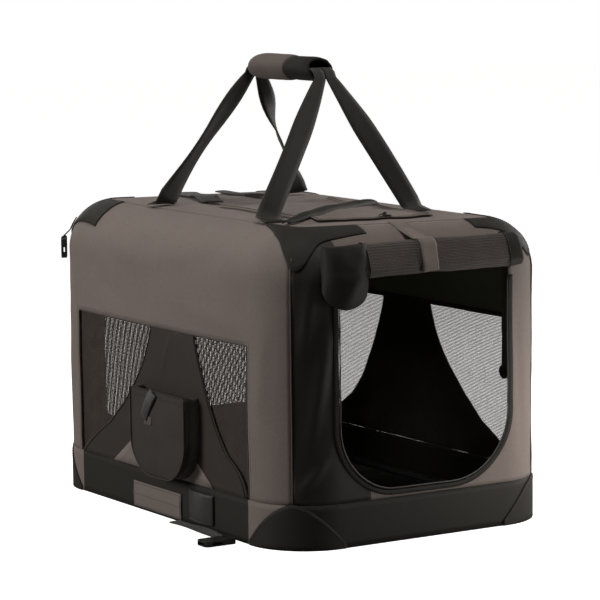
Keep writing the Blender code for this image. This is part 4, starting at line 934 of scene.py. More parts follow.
bell = {
    # over the window's height: how high, half width, and how far the middle stands off
    "rows": ((0.0, 0.268, 0.0), (0.144, 0.237, 0.013), (0.25, 0.193, 0.018), (0.41, 0.152, 0.027),
             (0.625, 0.112, 0.040), (0.79, 0.088, 0.046), (1.0, 0.070, 0.048)),
    "low": 0.0706,
    "high": 0.3097,
    "thickness": 0.0018,
    "seam": 0.0008,
    "footMiddle": 0.005,
    "footHalf": 0.163,
    "footHeight": 0.096,
    "footThickness": 0.0014,
    "fold": {"left": ((-0.046, 0.306), (-0.007, 0.228)), "right": ((0.050, 0.306), (0.020, 0.215))},
}


def bellRow(share):
    # half width and middle at a share of the height, on a smooth curve through the rows
    rows = bell["rows"]
    i = max(k for k in range(len(rows) - 1) if k == 0 or share >= rows[k][0])
    t = (share - rows[i][0]) / (rows[i + 1][0] - rows[i][0])
    before, after = rows[max(0, i - 1)], rows[min(len(rows) - 1, i + 2)]
    made = []
    for a, b, c, d in list(zip(before, rows[i], rows[i + 1], after))[1:]:
        bend = (2 * a - 5 * b + 4 * c - d) * t * t + (3 * b - a - 3 * c + d) * t ** 3
        made.append((2 * b + (c - a) * t + bend) / 2)
    return made


def makeBell(side, sign):
    # a bell-shaped panel over a side window, its two seams and the grey triangle at its foot
    def panelPlace(x, y):
        half, middle = bellRow(y)
        return middle * sign + (2 * x - 1) * half, span(bell["low"], bell["high"], y)

    def onPanel(t, h):
        far, share = near((t, h), *bell["fold"][side])
        ridge = 0.0016 * math.exp(-((far / 0.005) ** 2)) * math.sin(math.pi * (0.1 + 0.8 * share))
        soft = 0.0010 * noise.noise(Vector((t * 22, h * 22, 5 + sign)))
        return skin(side, t, h, 0.0004 + ridge + soft)

    def footPlace(x, y):
        half = bell["footHalf"] * (1 - y) ** 0.85
        return bell["footMiddle"] * sign + (2 * x - 1) * half, bell["low"] + bell["footHeight"] * y

    bm = clothGrid(48, 40)
    layCloth(bm, panelPlace, onPanel)
    if side == "left":
        bmesh.ops.reverse_faces(bm, faces=bm.faces)
    panel = newPiece(f"bellPanel_{side}", bm, bellCloth, "base", (f"bell_panel_{side}",), "black_cloth")
    thicken(panel, bell["thickness"], lining=liningCloth)
    squashWall(panel)
    for edge, tag in ((0.015, "a"), (0.985, "b")):
        line = [onPanel(*panelPlace(edge, i / 48)) + Vector((sign * 0.0004, 0, 0)) for i in range(49)]
        sewCord(f"bellSeam_{side}_{tag}", line, bell["seam"], pipingMat)
    bm = clothGrid(16, 8)
    layCloth(bm, footPlace, lambda t, h: skin(side, t, h, 0.0022))
    if side == "left":
        bmesh.ops.reverse_faces(bm, faces=bm.faces)
    foot = newPiece(f"bellFoot_{side}", bm, greyCloth, "base", (f"bell_foot_{side}",))
    thicken(foot, bell["footThickness"])
    squashWall(foot)


makeBell("left", -1)
makeBell("right", 1)
print("window panels made")


handle = {
    "gripZ": 0.718,
    "rearY": 0.103,
    "frontY": -0.095,
    "wrapFront": -0.013,
    "gap": 0.0105,
    "wrapThickness": 0.0045,
    "fill": 0.6,
    "width": 0.038,
    "thickness": 0.0020,
    "folded": 0.019,  # the webbing's width under the grip, folded in half
    "foot": 0.025,
    # side, place across, which side of the grip, and how far its front and rear feet lie from the middle
    "straps": (("left", -0.176, -1, 0.230, 0.140), ("right", 0.120, 1, 0.200, 0.200)),
    # by side and end: how many degrees a leg turns, and how late
    "twist": {(-1, 1): (38, 1.0), (1, 1): (75, 1.5), (-1, -1): (12, 1.0), (1, -1): (-8, 1.0)},
}


def legPoints(x, gripX, sideY, gripY, footEnd):
    # a strap's sewn foot, its leg with a twist in it, and the turn onto the grip
    full, folded = handle["width"], handle["folded"]
    innerX = x - math.copysign(full / 2, x)
    footY, tailY = sideY * (footEnd - handle["foot"]), sideY * footEnd
    foot = Vector((x, footY, topHeight(innerX, footY) + 0.0060))
    tail = Vector((x, tailY, topHeight(innerX, tailY) + 0.0020))
    head = Vector((gripX, gripY + sideY * 0.0099, handle["gripZ"] - 0.016))
    up = Vector((0, 0, 1))
    leg = (head - foot).normalized()
    flat = leg.cross(Vector((1, 0, 0))).normalized() * -sideY
    if flat.z < 0:
        flat = -flat
    made = [(tail, full, up), (foot, full, (up + flat).normalized())]
    degrees, late = handle["twist"][(1 if x > 0 else -1, sideY)]
    for i in range(1, 21):
        share = i / 20
        bow = math.sin(math.pi * share) * 0.004
        place = foot.lerp(head, share) + Vector((0, sideY * bow, 0))
        turn = Matrix.Rotation(math.radians(degrees) * math.sin(math.pi * min(1.0, share * 1.15)) ** late, 3, leg)
        width = full - folded * max(0.0, (share - 0.62) / 0.38) ** 1.3
        made.append((place, width, (turn @ flat).normalized()))
    made.append((Vector((gripX, gripY + sideY * 0.004, handle["gripZ"] - 0.0054)), folded, (flat + up).normalized()))
    made.append((Vector((gripX, gripY - sideY * 0.0063, handle["gripZ"])), folded, up))
    return made


def makeHandle():
    for side, x, sign, frontEnd, rearEnd in handle["straps"]:
        rear = legPoints(x, sign * handle["gap"], 1, handle["rearY"], rearEnd)
        front = legPoints(x, sign * handle["gap"], -1, handle["frontY"], frontEnd)
        points, widths, facing = zip(*rear, *front[::-1])
        strap = newPiece(f"handleStrap_{side}", ribbonAlong(points, widths, facing, 4), blackWebbing, "top",
                         (f"handle_strap_{side}",), "black_webbing")
        thicken(strap, handle["thickness"], 0.0)


def makeGrip():
    rearY, frontY, seamY = handle["rearY"] - 0.007, handle["frontY"] + 0.007, handle["wrapFront"]
    for name, rear, front, halfX, halfZ, material, node, slotName in (
        ("gripWrap", rearY, seamY, 0.0270, 0.0200, gripShadeCloth, "grip_wrap", "grey_cloth"),
        ("gripKeeper", seamY - 0.0006, frontY, 0.0265, 0.0182, keeperCloth, "grip_keeper", "black_webbing"),
    ):
        wrap = name == "gripWrap"

        def place(around, along):
            angle = around * 2 * math.pi
            y = span(rear, front, along)
            soft = 1 - 0.10 * abs(2 * along - 1) ** 6
            droop = 1.0 + (0.14 * math.sin(angle) ** 2 if math.sin(angle) < 0 else 0.0)
            ripple = 1 + 0.022 * noise.noise(Vector((math.cos(angle) * 1.6, math.sin(angle) * 1.6, y * 38)))
            lap = 0.0022 if 0.10 < around < 0.16 else 0.0
            return Vector((
                (halfX * soft + lap) * math.cos(angle) * ripple,
                y + 0.006 * (-math.sin(angle)) * (1 if wrap else -1) * (1 - along if wrap else along),
                handle["gripZ"] + halfZ * soft * math.sin(angle) * droop * ripple,
            ))

        bm = clothGrid(40, 24)
        layCloth(bm, lambda x, y: (x, y), place, (0.14, 0.10))
        bmesh.ops.remove_doubles(bm, verts=bm.verts, dist=0.00001)
        bmesh.ops.recalc_face_normals(bm, faces=bm.faces)
        sleeve = newPiece(name, bm, material, "top", (node,), slotName)
        thicken(sleeve, handle["wrapThickness"])


makeHandle()
makeGrip()
print("handle made")


roll = {
    "left": -0.144,
    "right": 0.172,
    "depth": 0.027,
    "height": 0.054,
    "low": 0.414,
    "front": -0.3806,
    "lean": math.radians(19),
    "start": math.radians(58),
    "pitch": 0.0027,
    "thickness": 0.0014,
    "capLeft": 0.026,
    "capRight": 0.025,
}


def rollPoint(angle, grow):
    halfDepth = roll["depth"] / 2 + grow
    halfHeight = roll["height"] / 2 + grow
    across = math.copysign(abs(math.cos(angle)) ** 0.7, math.cos(angle)) * halfDepth
    up = math.copysign(abs(math.sin(angle)) ** 0.8, math.sin(angle)) * halfHeight
    lean = math.tan(roll["lean"]) * max(0.0, up + halfHeight / 2)
    return Vector((0, roll["front"] - roll["depth"] / 2 + across + lean, roll["low"] + roll["height"] / 2 + up))


def rollNetted(x):
    return roll["left"] + roll["capLeft"] < x < roll["right"] - roll["capRight"]


def makeRoll():
    # the door as one sheet wound three times, with the bound edges at its two ends
    turns = [i / 150 for i in range(150)] + [1 + i / 56 for i in range(113)]
    grows = [-roll["thickness"] / 2 - roll["pitch"] * turn for turn in turns]
    ring = [rollPoint(roll["start"] + 2 * math.pi * turn, grow) for turn, grow in zip(turns, grows)]
    lengths = runLengths((b - a).length for a, b in zip(ring, ring[1:]))
    rows = len(ring) - 1
    bm = clothGrid(79, rows)
    wide = roll["right"] - roll["left"]
    places = {vert: (roll["left"] + wide * vert.co.x, round(vert.co.y * rows)) for vert in bm.verts}
    setCloth(bm, lambda vert: (places[vert][0], lengths[places[vert][1]]))
    for vert, (x, row) in places.items():
        turn = turns[row]
        angle = roll["start"] + 2 * math.pi * turn
        ends = min(x - roll["left"], roll["right"] - x)
        soft = 0.0016 * noise.noise(Vector((x * 15, angle * 0.9, turn * 0.6)))
        soft += 0.0008 * noise.noise(Vector((x * 44, angle * 1.5, 7.0)))
        if rollNetted(x) and turn < 1:
            ribs = 2 * math.pi * lengths[row] / 0.0046 + 5 * noise.noise(Vector((x * 12, 0, 3)))
            soft += 0.00035 * math.sin(ribs)
        shrink = -0.0014 * math.exp(-ends / 0.008) + (0.0 if rollNetted(x) else 0.0007)
        pinch = -0.0016 * math.exp(-(((x - tie["x"]) / 0.016) ** 2))
        place = rollPoint(angle, grows[row] - 0.0009 + soft + shrink + pinch)
        vert.co = Vector((x, place.y, place.z))
    for face in bm.faces:
        face.material_index = 0 if rollNetted(face.calc_center_median().x) else 1
    bmesh.ops.recalc_face_normals(bm, faces=bm.faces)
    piece = newPiece("rolledDoor", bm, rollNet, "top", ("door_roll",), "black_net")
    piece.data.materials.append(blackCloth)
    thicken(piece, roll["thickness"], 0.0)
    inset = 0.0012
    seams = ((roll["left"] + roll["capLeft"] + inset, "left"), (roll["right"] - roll["capRight"] - inset, "right"))
    for x, tag in seams:
        seam = []
        for i in range(60):
            here = rollPoint(math.radians(70 + 190 * i / 59), 0.0004)
            seam.append(Vector((x, here.y, here.z)))
        newPiece(f"rollSeam_{tag}", tubeAlong(seam, 0.0009), pipingMat, "top", slotName="black_cloth")


rollEnd = {"left": -0.188, "right": -0.108, "high": 0.468, "low": 0.370, "out": 0.032, "thickness": 0.0012,
           "flat": (0.10, 0.09)}


def makeRollEnd():
    # the loose end of the door's cloth, which hangs in a fold at the roll's left
    def place(u, v):
        full = math.sin(math.pi * min(1.0, max(0.0, u))) ** 0.45
        drop = 1 - 0.30 * (1 - full)
        z = rollEnd["high"] - (rollEnd["high"] - rollEnd["low"]) * v * drop
        fold = 0.0020 * math.sin(9 * u + 5 * v) + 0.0016 * noise.noise(Vector((u * 4, v * 4, 12)))
        out = rollEnd["out"] * full * math.sin(math.pi * (0.10 + 0.86 * v)) ** 0.5 + fold * full
        back = skin("front", 0.0, min(z, crate["edgeStart"] + 0.02), 0.0012, True).y
        return Vector((span(rollEnd["left"], rollEnd["right"], u), back - out, z))

    bm = clothGrid(40, 36)
    layCloth(bm, lambda u, v: (u, v), place, rollEnd["flat"])
    bmesh.ops.recalc_face_normals(bm, faces=bm.faces)
    piece = newPiece("rollEnd", bm, blackCloth, "top", slotName="black_cloth")
    thicken(piece, rollEnd["thickness"], 0.0)


tie = {"x": -0.004, "width": 0.029, "thickness": 0.0015, "stitchInset": 0.0028}


def makeTie():
    # a strap from the top's front edge over the roll and under it
    points, facing = [], []
    for degrees in (84, 78, 70, 62):
        h = crate["edgeStart"] + crate["edge"] * math.radians(min(degrees, 79.5))
        place = skin("front", tie["x"], h, 0.0016, True)
        if degrees == 84:
            place = Vector((tie["x"], place.y + 0.006, place.z + 0.0012))
        points.append(place)
        facing.append(Vector((0, -math.cos(math.radians(degrees)), math.sin(math.radians(degrees)))))
    for i in range(12):
        angle = math.radians(80 + 13 * i)
        here = rollPoint(angle, 0.0012 + 0.0006 * math.sin(i * 1.7))
        points.append(Vector((tie["x"] + 0.0022 * math.sin(i * 0.5), here.y, here.z)))
        facing.append(Vector((0, math.cos(angle), math.sin(angle))))
    points = curvePoints(points, 3)
    facing = curvePoints(facing, 3)
    bm = ribbonAlong(points, [tie["width"]] * len(points), facing, 6)
    bmesh.ops.recalc_face_normals(bm, faces=bm.faces)
    piece = newPiece("doorTie", bm, greyCloth, "top", ("door_tie",))
    thicken(piece, tie["thickness"], 0.0)
    for edge, tag in ((-1, "a"), (1, "b")):
        beside = Vector((edge * (tie["width"] / 2 - tie["stitchInset"]), 0, 0))
        line = [(place + beside + face.normalized() * 0.0008, face.normalized()) for place, face in zip(points, facing)]
        stitchRow(f"tieStitch_{tag}", line, "top", greyThread)


doorTape = {"x": 0.1635, "low": 0.0775, "top": 0.404, "radius": 0.112, "width": 0.009, "thickness": 0.0008}


def doorLine(inset, steps=14):
    # the door's outline, open at the top, moved inwards by inset
    x = doorTape["x"] - inset
    low = doorTape["low"] + inset
    radius = doorTape["radius"] - inset
    line = [(-x, span(doorTape["top"], low + radius, i / 24)) for i in range(24)]
    for centre, start in ((-x + radius, 180), (x - radius, 270)):
        for i in range(steps):
            angle = math.radians(start + 90 * i / steps)
            line.append((centre + radius * math.cos(angle), low + radius + radius * math.sin(angle)))
    line += [(x, span(low + radius, doorTape["top"], i / 24)) for i in range(25)]
    return line


def makeDoorZip():
    points, facing = zip(*onWall("front", doorLine(0), 0.0006))
    ribbon = ribbonAlong(points, [doorTape["width"]] * len(points), facing, 2)
    tape = newPiece("doorZipTape", ribbon, blackCloth, "base", ("door_zip",), "black_webbing")
    thicken(tape, doorTape["thickness"], 0.0)
    squashWall(tape)
    rim = [place for place, _ in onWall("front", doorLine(0.0064), 0.0012)]
    sewCord("doorBinding", rim, 0.0010, bindingMat, "black_webbing")
    coil = onWall("front", doorLine(0.0046), 0.0016)
    sewStitches("doorZipTeeth", coil, plasticMat, pitch=0.0021, length=0.0011, width=0.0026)
    for inset, tag in ((-0.0034, "outer"), (-0.0010, "inner")):
        sewStitches(f"doorStitch_{tag}", onWall("front", doorLine(inset), 0.0019), darkThread)


makeRoll()
makeRollEnd()
makeTie()
makeDoorZip()
print("door made")


hatch = {
    "low": (-0.118, -0.262),
    "high": (0.098, 0.042),
    "lift": 0.0010,
    "thickness": 0.0015,
    "zipInset": 0.004,
    "zipWidth": 0.012,
}


def makeHatch():
    (x0, y0), (x1, y1) = hatch["low"], hatch["high"]
    bm = clothGrid(36, 48)
    layCloth(bm, overBox(hatch["low"], hatch["high"]),
             lambda x, y: Vector((x, y, topHeight(x, y) + hatch["lift"] + hatch["thickness"])))
    flap = newPiece("topHatch", bm, greyCloth, "top", ("top_hatch",))
    thicken(flap, hatch["thickness"])
    inset = hatch["zipInset"]
    corners = [(x1 - inset, y1 - inset), (x1 - inset, y0 + inset), (x0 + inset, y0 + inset), (x0 + inset, y1 - inset)]
    line = []
    for a, b in zip(corners, corners[1:]):
        steps = max(2, int(math.hypot(b[0] - a[0], b[1] - a[1]) / 0.006))
        place = overBox(a, b)
        for i in range(steps):
            x, y = place(i / steps, i / steps)
            line.append(Vector((x, y, topHeight(x, y) + 0.0034)))
    up = [Vector((0, 0, 1))] * len(line)
    tape = ribbonAlong(line, [hatch["zipWidth"]] * len(line), up, 2)
    thicken(newPiece("hatchZipTape", tape, greyCloth, "top"), 0.0009, 0.0)
    teeth = [(place + Vector((0, 0, 0.0006)), normal) for place, normal in zip(line, up)]
    stitchRow("hatchZipTeeth", teeth, "top", greyThread, pitch=0.0022, length=0.0011, width=0.0020)


def overTop(points, steps, lift):
    path = curvePoints([(x, y, 0) for x, y in points], steps)
    return [Vector((p.x, p.y, topHeight(p.x, p.y) + lift)) for p in path]


lip = {
    "path": ((-0.184, -0.275), (-0.120, -0.235), (-0.020, -0.165), (0.070, -0.098), (0.112, -0.066), (0.124, -0.062)),
    "size": 0.0130,
    "thickness": 0.0014,
    "flat": (0.034, 0.37),
}


def makeLip():
    # a soft fold that stands up along the flap's front, drawn in black cloth
    path = overTop(lip["path"], 8, 0.0)
    rows = len(path) - 1
    bm = clothGrid(10, rows)
    flat = {vert: (vert.co.x, round(vert.co.y * rows)) for vert in bm.verts}
    setCloth(bm, lambda vert: (flat[vert][0] * 0.03, flat[vert][1] * 0.008))
    for vert, (u, row) in flat.items():
        tangent = (path[min(rows, row + 1)] - path[max(0, row - 1)]).normalized()
        across = tangent.cross(Vector((0, 0, 1))).normalized()
        size = lip["size"] * math.sin(math.pi * (0.06 + 0.88 * row / rows)) ** 0.6
        angle = math.radians(-20 + 220 * u)
        rise = Vector((0, 0, 0.0042 + size * 0.62 * max(-0.2, math.sin(angle))))
        vert.co = path[row] + across * (size * (math.cos(angle) - 0.35)) * 1.1 + rise
    piece = newPiece("hatchLip", bm, blackCloth, "top", slotName="black_cloth")
    thicken(piece, lip["thickness"], 0.0)


topStraps = (  # name, node, path over the top, width
    ("topStrap", "top_strap", ((-0.028, 0.301), (-0.055, 0.226), (-0.082, 0.150), (-0.1085, 0.076)), 0.038),
    ("topBuckleStrap", "top_buckle_strap", ((0.042, 0.301), (0.038, 0.260), (0.033, 0.215), (0.030, 0.1796)), 0.022),
)


def makeTopStraps():
    up = Vector((0, 0, 1))
    for name, node, points, width in topStraps:
        path = overTop(points, 8, 0.0036)
        if name == "topStrap":
            for i, place in enumerate(path):
                place.z += 0.006 * math.exp(-(((i / len(path)) - 0.72) / 0.16) ** 2)
        bm = ribbonAlong(path, [width] * len(path), [up] * len(path), 6, 0.0008)
        thicken(newPiece(name, bm, blackWebbing, "top", (node,), "black_webbing"), 0.0022, 0.0)
        for shift, tag in ((-0.32, "a"), (0.32, "b")):
            row = [(p + Vector((0, 0, 0.0022)) + Vector((shift * width, 0, 0)), up) for p in path[-5:]]
            stitchRow(f"{name}Stitch_{tag}", row, "top", darkThread)


makeHatch()
makeLip()
makeTopStraps()
print("top pieces made")


pouch = {
    "back": 0.2571,
    "depth": 0.030,
    "low": (-0.126, 0.0706),
    "high": (0.049, 0.2106),
    "radius": 0.066,
    "pull": (-0.0270, 0.2085),
    "pullLength": 0.050,
    "pullWidth": 0.021,
    "pullTilt": math.radians(32),
    "gusset": 0.036,
    "gussetThickness": 0.0012,
    "thickness": 0.0013,
    "piping": 0.0012,
    "hem": 0.0013,
    "square": ((-0.026, 0.1555), (-0.001, 0.1690)),
}


def pouchOutline(inset, steps=8):
    # the U from one top corner round the foot to the other, as (y, z)
    y0, z0 = pouch["low"][0] + inset, pouch["low"][1] + inset
    y1, z1 = pouch["high"][0] - inset, pouch["high"][1]
    radius = pouch["radius"] - inset
    line = [(y0, span(z1, z0 + radius, i / 16)) for i in range(16)]
    for centre, start in ((y0 + radius, 180), (y1 - radius, 270)):
        for i in range(steps):
            angle = math.radians(start + 90 * i / steps)
            line.append((centre + radius * math.cos(angle), z0 + radius + radius * math.sin(angle)))
    line += [(y1, span(z0 + radius, z1, i / 16)) for i in range(17)]
    return line


def makeGusset():
    # a strip round the outline, with one pleat folded in along its middle
    outline = pouchOutline(0.0)
    lengths = runLengths(math.hypot(c - a, d - b) for (a, b), (c, d) in zip(outline, outline[1:]))
    rows = len(outline) - 1
    middle = ((pouch["low"][0] + pouch["high"][0]) / 2, pouch["low"][1] + 0.070)
    bm = clothGrid(16, rows)
    flat = {vert: (vert.co.x, round(vert.co.y * rows)) for vert in bm.verts}
    setCloth(bm, lambda vert: (flat[vert][0] * pouch["gusset"], lengths[flat[vert][1]]))
    for vert, (u, row) in flat.items():
        y, z = outline[row]
        inward = Vector((middle[0] - y, middle[1] - z)).normalized()
        if row < 8 or row > rows - 8:
            inward = Vector((math.copysign(1, middle[0] - y), 0))
        fold = 0.0050 * math.exp(-(((u - 0.52) / 0.15) ** 2))
        fold += 0.0012 * noise.noise(Vector((u * 4, lengths[row] * 22, 9)))
        out = pouch["back"] + 0.0006 + (pouch["depth"] - 0.0014) * u
        vert.co = Vector((-out, y + inward.x * (fold + 0.001), z + inward.y * (fold + 0.001)))
    bmesh.ops.recalc_face_normals(bm, faces=bm.faces)
    gusset = newPiece("pouchGusset", bm, gussetLitCloth, "base", ("side_pouch",), "black_cloth")
    thicken(gusset, pouch["gussetThickness"], 0.0)
    squashWall(gusset)


def pouchPlace(y, z):
    # a point on the front panel, which is full at the foot and slack at the mouth
    u = (y - pouch["low"][0]) / (pouch["high"][0] - pouch["low"][0])
    v = (z - pouch["low"][1]) / (pouch["high"][1] - pouch["low"][1])
    full = max(0.0, 1 - (2 * u - 1) ** 4) * max(0.0, min(1.0, v * 5)) ** 0.5
    dip = 0.0045 * math.exp(-(((v - 1.0) / 0.22) ** 2)) * math.sin(math.pi * max(0.0, min(1.0, u)))
    line = 0.0015 * math.exp(-(((u - 0.55 - 0.06 * v) / 0.05) ** 2)) * v
    soft = 0.0013 * noise.noise(Vector((y * 24, z * 24, 4)))
    return Vector((-(pouch["back"] + pouch["depth"] - 0.0035 + 0.0030 * full + soft - dip + line), y, z))


leftward = Vector((-1, 0, 0))


def makePouch():
    (y0, z0), (y1, z1) = pouch["low"], pouch["high"]

    def onPanel(u, v):
        z = span(z0 + 0.0006, z1, v)
        drop = max(0.0, pouch["radius"] - (z - z0))
        cut = pouch["radius"] - math.sqrt(max(0.0, pouch["radius"] ** 2 - drop ** 2))
        return span(y0 + cut, y1 - cut, u), z

    bm = clothGrid(34, 28)
    layCloth(bm, onPanel, pouchPlace)
    faceAway(bm, lambda face: leftward)
    panel = newPiece("pouchFront", bm, pouchCloth, "base", slotName="black_cloth")
    thicken(panel, pouch["thickness"])
    squashWall(panel)
    # piping round the front edge, a hem at the mouth and the sewn box on the gusset
    edge = [pouchPlace(y, z) for y, z in pouchOutline(0.0010)]
    sewCord("pouchPiping", edge, pouch["piping"], pouchEdge)
    hem = [pouchPlace(span(y0 + 0.002, y1 - 0.002, i / 24), z1 - 0.0002) for i in range(25)]
    sewCord("pouchHem", hem, pouch["hem"], pouchEdge)
    under = [pouchPlace(span(y0 + 0.005, y1 - 0.005, i / 24), z1 - 0.0105) + leftward * 0.0004 for i in range(25)]
    sewStitches("pouchHemStitch", [(place, leftward) for place in under], darkThread)
    x0, x1 = -(pouch["back"] + 0.002), -(pouch["back"] + pouch["depth"] - 0.003)
    boxLine = [(x0, z1 - 0.004), (x1, z1 - 0.004), (x1, z1 - 0.016), (x0, z1 - 0.016), (x0, z1 - 0.004)]
    places = [(Vector((x, y0 - 0.0004, z)), Vector((0, -1, 0))) for x, z in boxLine]
    sewStitches("pouchBoxStitch", places, darkThread, pitch=0.0034)


def makePouchPull():
    y, z = pouch["pull"]
    heading = Vector((0, math.sin(pouch["pullTilt"]), -math.cos(pouch["pullTilt"])))
    points, facing = [], []
    for i in range(17):
        along = pouch["pullLength"] * i / 16
        place = pouchPlace(y + heading.y * along, z + heading.z * along)
        points.append(place + leftward * (0.0016 + 0.0020 * math.sin(math.pi * i / 16)))
        facing.append(leftward)
    for i in range(1, 9):
        angle = math.pi * i / 8
        turn = leftward * math.cos(angle) * 0.0016 + heading * math.sin(angle) * 0.0016
        points.append(points[16] - leftward * 0.0016 + turn)
        facing.append(turn.normalized())
    pull = newPiece("pouchPull", ribbonAlong(points, [pouch["pullWidth"]] * len(points), facing, 4, 0.0008),
                    glossWebbing, "base", ("pouch_pull",), "black_webbing")
    thicken(pull, 0.0009, 0.0)
    squashWall(pull)


def makePouchSquare():
    # a plain sewn square on the panel
    bm = clothGrid(6, 6)
    layCloth(bm, overBox(*pouch["square"]), lambda y, z: pouchPlace(y, z) + leftward * 0.0009)
    faceAway(bm, lambda face: leftward)
    patch = newPiece("pouchSquare", bm, squareCloth, "base")
    thicken(patch, 0.0007)
    squashWall(patch)


bandPatch = {"low": (-0.064, 0.004), "high": (0.091, 0.046), "hem": 0.003, "thickness": 0.0015}
bandLoop = {"from": -0.166, "to": -0.092, "middle": 0.036, "width": 0.048, "out": 0.0058, "thickness": 0.0014}


def makeBandPatch():
    # the grey patch on the band, hemmed and stitched across its middle
    bm = clothGrid(30, 12)
    layCloth(bm, overBox(bandPatch["low"], bandPatch["high"]),
             lambda y, z: skin("left", y, z, 0.0024 + 0.0008 * math.cos((z - 0.025) * 75) ** 2))
    faceAway(bm, lambda face: leftward)
    thicken(newPiece("bandPatch", bm, greyCloth, "base", ("base_patch",)), bandPatch["thickness"])
    hem = bandPatch["hem"]
    y0, z0 = (value + hem for value in bandPatch["low"])
    y1, z1 = (value - hem for value in bandPatch["high"])
    rows = (((y0, z0), (y1, z0)), ((y0, 0.0245), (y1, 0.0250)), ((y0, z1), (y1, z1)), ((y0, z0), (y0, z1)),
            ((y1, z0), (y1, z1)))
    for i, row in enumerate(rows):
        stitchRow(f"bandPatchStitch_{i}", wallLine("left", row, 0.0034), "base", greyThread)


def makeBandLoop():
    # the glossy loop beside the patch
    points, facing = [], []
    for i in range(25):
        share = i / 24
        out = 0.0024 + bandLoop["out"] * math.sin(math.pi * share) ** 0.8
        points.append(skin("left", span(bandLoop["from"], bandLoop["to"], share), bandLoop["middle"], out))
        facing.append(Vector((-1, 0.5 * math.cos(math.pi * share) * -1, 0)).normalized())
    loop = newPiece("bandLoop", ribbonAlong(points, [bandLoop["width"]] * len(points), facing, 10, 0.0006),
                    glossWebbing, "base", ("base_loop",), "black_webbing")
    thicken(loop, bandLoop["thickness"], 0.0)


floorStrap = {
    "path": ((-0.2663, -0.060), (-0.2663, -0.123), (-0.2696, -0.186), (-0.2718, -0.2237)),
    "height": 0.0016,
    "width": 0.022,
    "thickness": 0.0020,
}


def makeFloorStrap():
    path = curvePoints([(x, y, floorStrap["height"]) for x, y in floorStrap["path"]], 10)
    facing = [Vector((0.08 * math.sin(i * 0.31), 0, 1)).normalized() for i in range(len(path))]
    for i, place in enumerate(path):
        place.z += 0.0006 + 0.0016 * math.sin(math.pi * i / (len(path) - 1)) ** 2
    strap = newPiece("floorStrap", ribbonAlong(path, [floorStrap["width"]] * len(path), facing, 6, 0.0006),
                     blackWebbing, "base", ("floor_strap",), "black_webbing")
    thicken(strap, floorStrap["thickness"], 0.0)


floorMat = {
    "half": (0.214, 0.318),
    "low": 0.0046,
    "thick": 0.012,
    "seam": 0.010,  # how far the flat bag's edge lies inside the blown-up one's
    "voxel": 0.0065,
    "pressure": 4.0,
    "frames": 16,
    "most": 0.0075,
    "flatten": 0.86,
    "tuft": 0.0030,
    "fill": 0.5,
}


def makeMat():
    # the stuffed mat, blown up by the cloth solver from a flat bag, then piped round its edge
    halfX, halfY = floorMat["half"]
    low = floorMat["low"]
    bm = clothGrid(28, 40)
    for vert in bm.verts:
        u, v = 2 * vert.co.x - 1, 2 * vert.co.y - 1
        vert.co = Vector((u * (halfX - floorMat["seam"]), v * (halfY - floorMat["seam"]), low + 0.004))
    grown = bmesh.ops.extrude_face_region(bm, geom=bm.faces[:])
    raised = [v for v in grown["geom"] if isinstance(v, bmesh.types.BMVert)]
    bmesh.ops.translate(bm, vec=(0, 0, floorMat["thick"]), verts=raised)
    bmesh.ops.recalc_face_normals(bm, faces=bm.faces)
    mesh = bpy.data.meshes.new("floorMat")
    bm.to_mesh(mesh)
    bm.free()
    piece = bpy.data.objects.new("floorMat", mesh)
    bpy.context.scene.collection.objects.link(piece)
    blowUp(piece, floorMat["voxel"], floorMat["pressure"], floorMat["frames"], floorMat["most"])
    bm = bmesh.new()
    bm.from_mesh(mesh)
    floor = min(v.co.z for v in bm.verts)
    for vert in bm.verts:
        vert.co.z = max(low, low + (vert.co.z - floor) * floorMat["flatten"])
        if vert.co.z > low + 0.008:
            vert.co.z -= floorMat["tuft"] * math.exp(-((vert.co.y / 0.014) ** 2))
    setCloth(bm, lambda vert: (vert.co.x, vert.co.y))
    bm.to_mesh(mesh)
    bm.free()
    mesh.transform(Matrix.Translation(crate["shift"]))
    mesh.shade_smooth()
    mesh.materials.append(fleeceCloth)
    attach(piece, "base")
    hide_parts("floor_mat")
    soft = piece.modifiers.new("soft", "SUBSURF")
    soft.levels = soft.render_levels = 1
    edge = []
    for i in range(96):
        angle = 2 * math.pi * i / 96
        x = math.copysign(abs(math.cos(angle)) ** 0.22, math.cos(angle)) * (halfX - 0.0035)
        y = math.copysign(abs(math.sin(angle)) ** 0.22, math.sin(angle)) * (halfY - 0.0035)
        edge.append(Vector((x, y, low + 0.0085)))
    newPiece("matPiping", tubeAlong(edge, 0.0022, True), pipingMat, "base", slotName="mat_cloth")


def blowUp(piece, voxel, pressure, frames, most):
    scene = bpy.context.scene
    bpy.context.view_layer.objects.active = piece
    mesh = piece.data
    mesh.remesh_voxel_size = voxel
    mesh.remesh_voxel_adaptivity = 0
    bpy.ops.object.select_all(action="DESELECT")
    piece.select_set(True)
    bpy.ops.object.voxel_remesh()
    before = [v.co.copy() for v in mesh.vertices]
    cloth = piece.modifiers.new("blow", "CLOTH")
    cloth.settings.quality = 5
    cloth.settings.use_pressure = True
    cloth.settings.uniform_pressure_force = pressure
    cloth.settings.effector_weights.gravity = 0
    for frameNumber in range(1, frames + 1):
        scene.frame_set(frameNumber)
    made = piece.evaluated_get(bpy.context.evaluated_depsgraph_get()).to_mesh()
    after = [v.co.copy() for v in made.vertices]
    piece.evaluated_get(bpy.context.evaluated_depsgraph_get()).to_mesh_clear()
    piece.modifiers.remove(cloth)
    for vert, a, b in zip(mesh.vertices, before, after):
        move = b - a
        if move.length > most:
            move *= most / move.length
        vert.co = a + move
    scene.frame_set(1)


def dress(nodes, material):
    for node in nodes:
        for slot in bpy.data.objects[node].material_slots:
            slot.material = material


rearTab = {"turn": math.radians(32), "degrees": (36, 28, 21), "width": 0.0138, "thickness": 0.0020, "loop": 0.0032,
           "drop": 0.014}


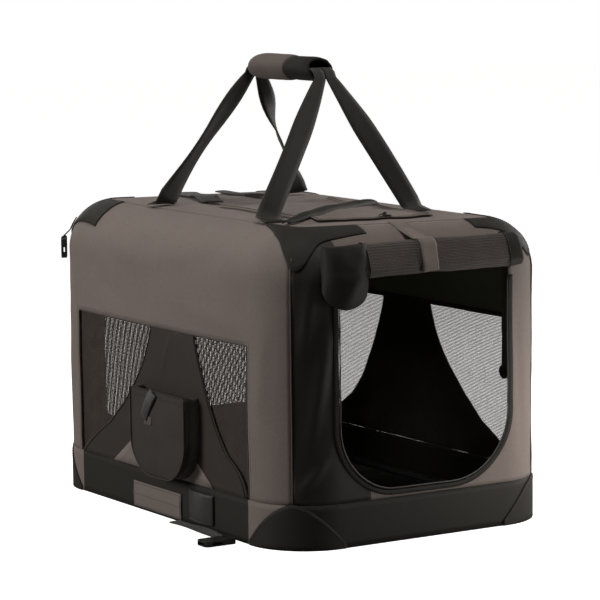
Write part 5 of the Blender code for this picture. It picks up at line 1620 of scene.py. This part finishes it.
def makeRearTab():
    # the tab on the rear corner's guard, looped round the buckle's pin
    normal = Vector((-math.cos(rearTab["turn"]), math.sin(rearTab["turn"]), 0))
    t = crate["cornerY"] + crate["plan"] * rearTab["turn"]
    points, facing = [], []
    for degrees in rearTab["degrees"]:
        angle = math.radians(degrees)
        points.append(skin("left", t, crate["edgeStart"] + crate["edge"] * angle, 0.0036))
        facing.append((normal * math.cos(angle) + Vector((0, 0, math.sin(angle)))).normalized())
    pivot = Vector((-crate["cornerX"], crate["cornerY"], 0)) + normal * (crate["plan"] + 0.009)
    pivot.z = points[-1].z - rearTab["drop"]
    points.append(points[-1].lerp(pivot + normal * rearTab["loop"], 0.55))
    facing.append(normal)
    for i in range(13):
        angle = math.radians(270 * i / 12)
        turn = normal * math.cos(angle) - Vector((0, 0, 1)) * math.sin(angle)
        points.append(pivot + turn * rearTab["loop"])
        facing.append(turn)
    bm = ribbonAlong(points, [rearTab["width"]] * len(points), facing, 4)
    thicken(newPiece("rearTab", bm, blackWebbing, "top", ("rear_tab",), "black_webbing"), rearTab["thickness"], 0.0)


cornerPiping = {"low": 0.071, "topGap": 0.075, "radius": 0.0011}


def makeCornerPiping():
    low, high = cornerPiping["low"], crate["seamUp"] - cornerPiping["topGap"]
    for name, side, sign in (
        ("frontLeft", "left", -1), ("frontRight", "right", -1), ("rearLeft", "left", 1), ("rearRight", "right", 1),
    ):
        t = sign * (crate["cornerY"] + halfArc)
        line = [skin(side, t, span(low, high, i / 30), 0.0006) for i in range(31)]
        sewCord(f"cornerPiping_{name}", line, cornerPiping["radius"], seamCord)


makeGusset()
makePouch()
makePouchPull()
makePouchSquare()
makeBandPatch()
makeBandLoop()
makeFloorStrap()
makeMat()
makeRearTab()
makeCornerPiping()
tubes = ["base_ring", "top_ring", "front_lower_frame", "front_upper_frame", "rear_lower_frame", "rear_upper_frame"]
dress(tubes, tubePaint)
rivets = [f"{end}_knee_rivet_{side}" for end in ("front", "rear") for side in ("left", "right")]
dress(rivets + ["front_zip_slider", "front_zip_pull", "top_zip_slider", "top_zip_pull"], zincMetal)
dress(["floor_buckle", "rear_buckle", "top_buckle"], plasticMat)
dress(["floor_board"], boardMat)
print("small pieces made")
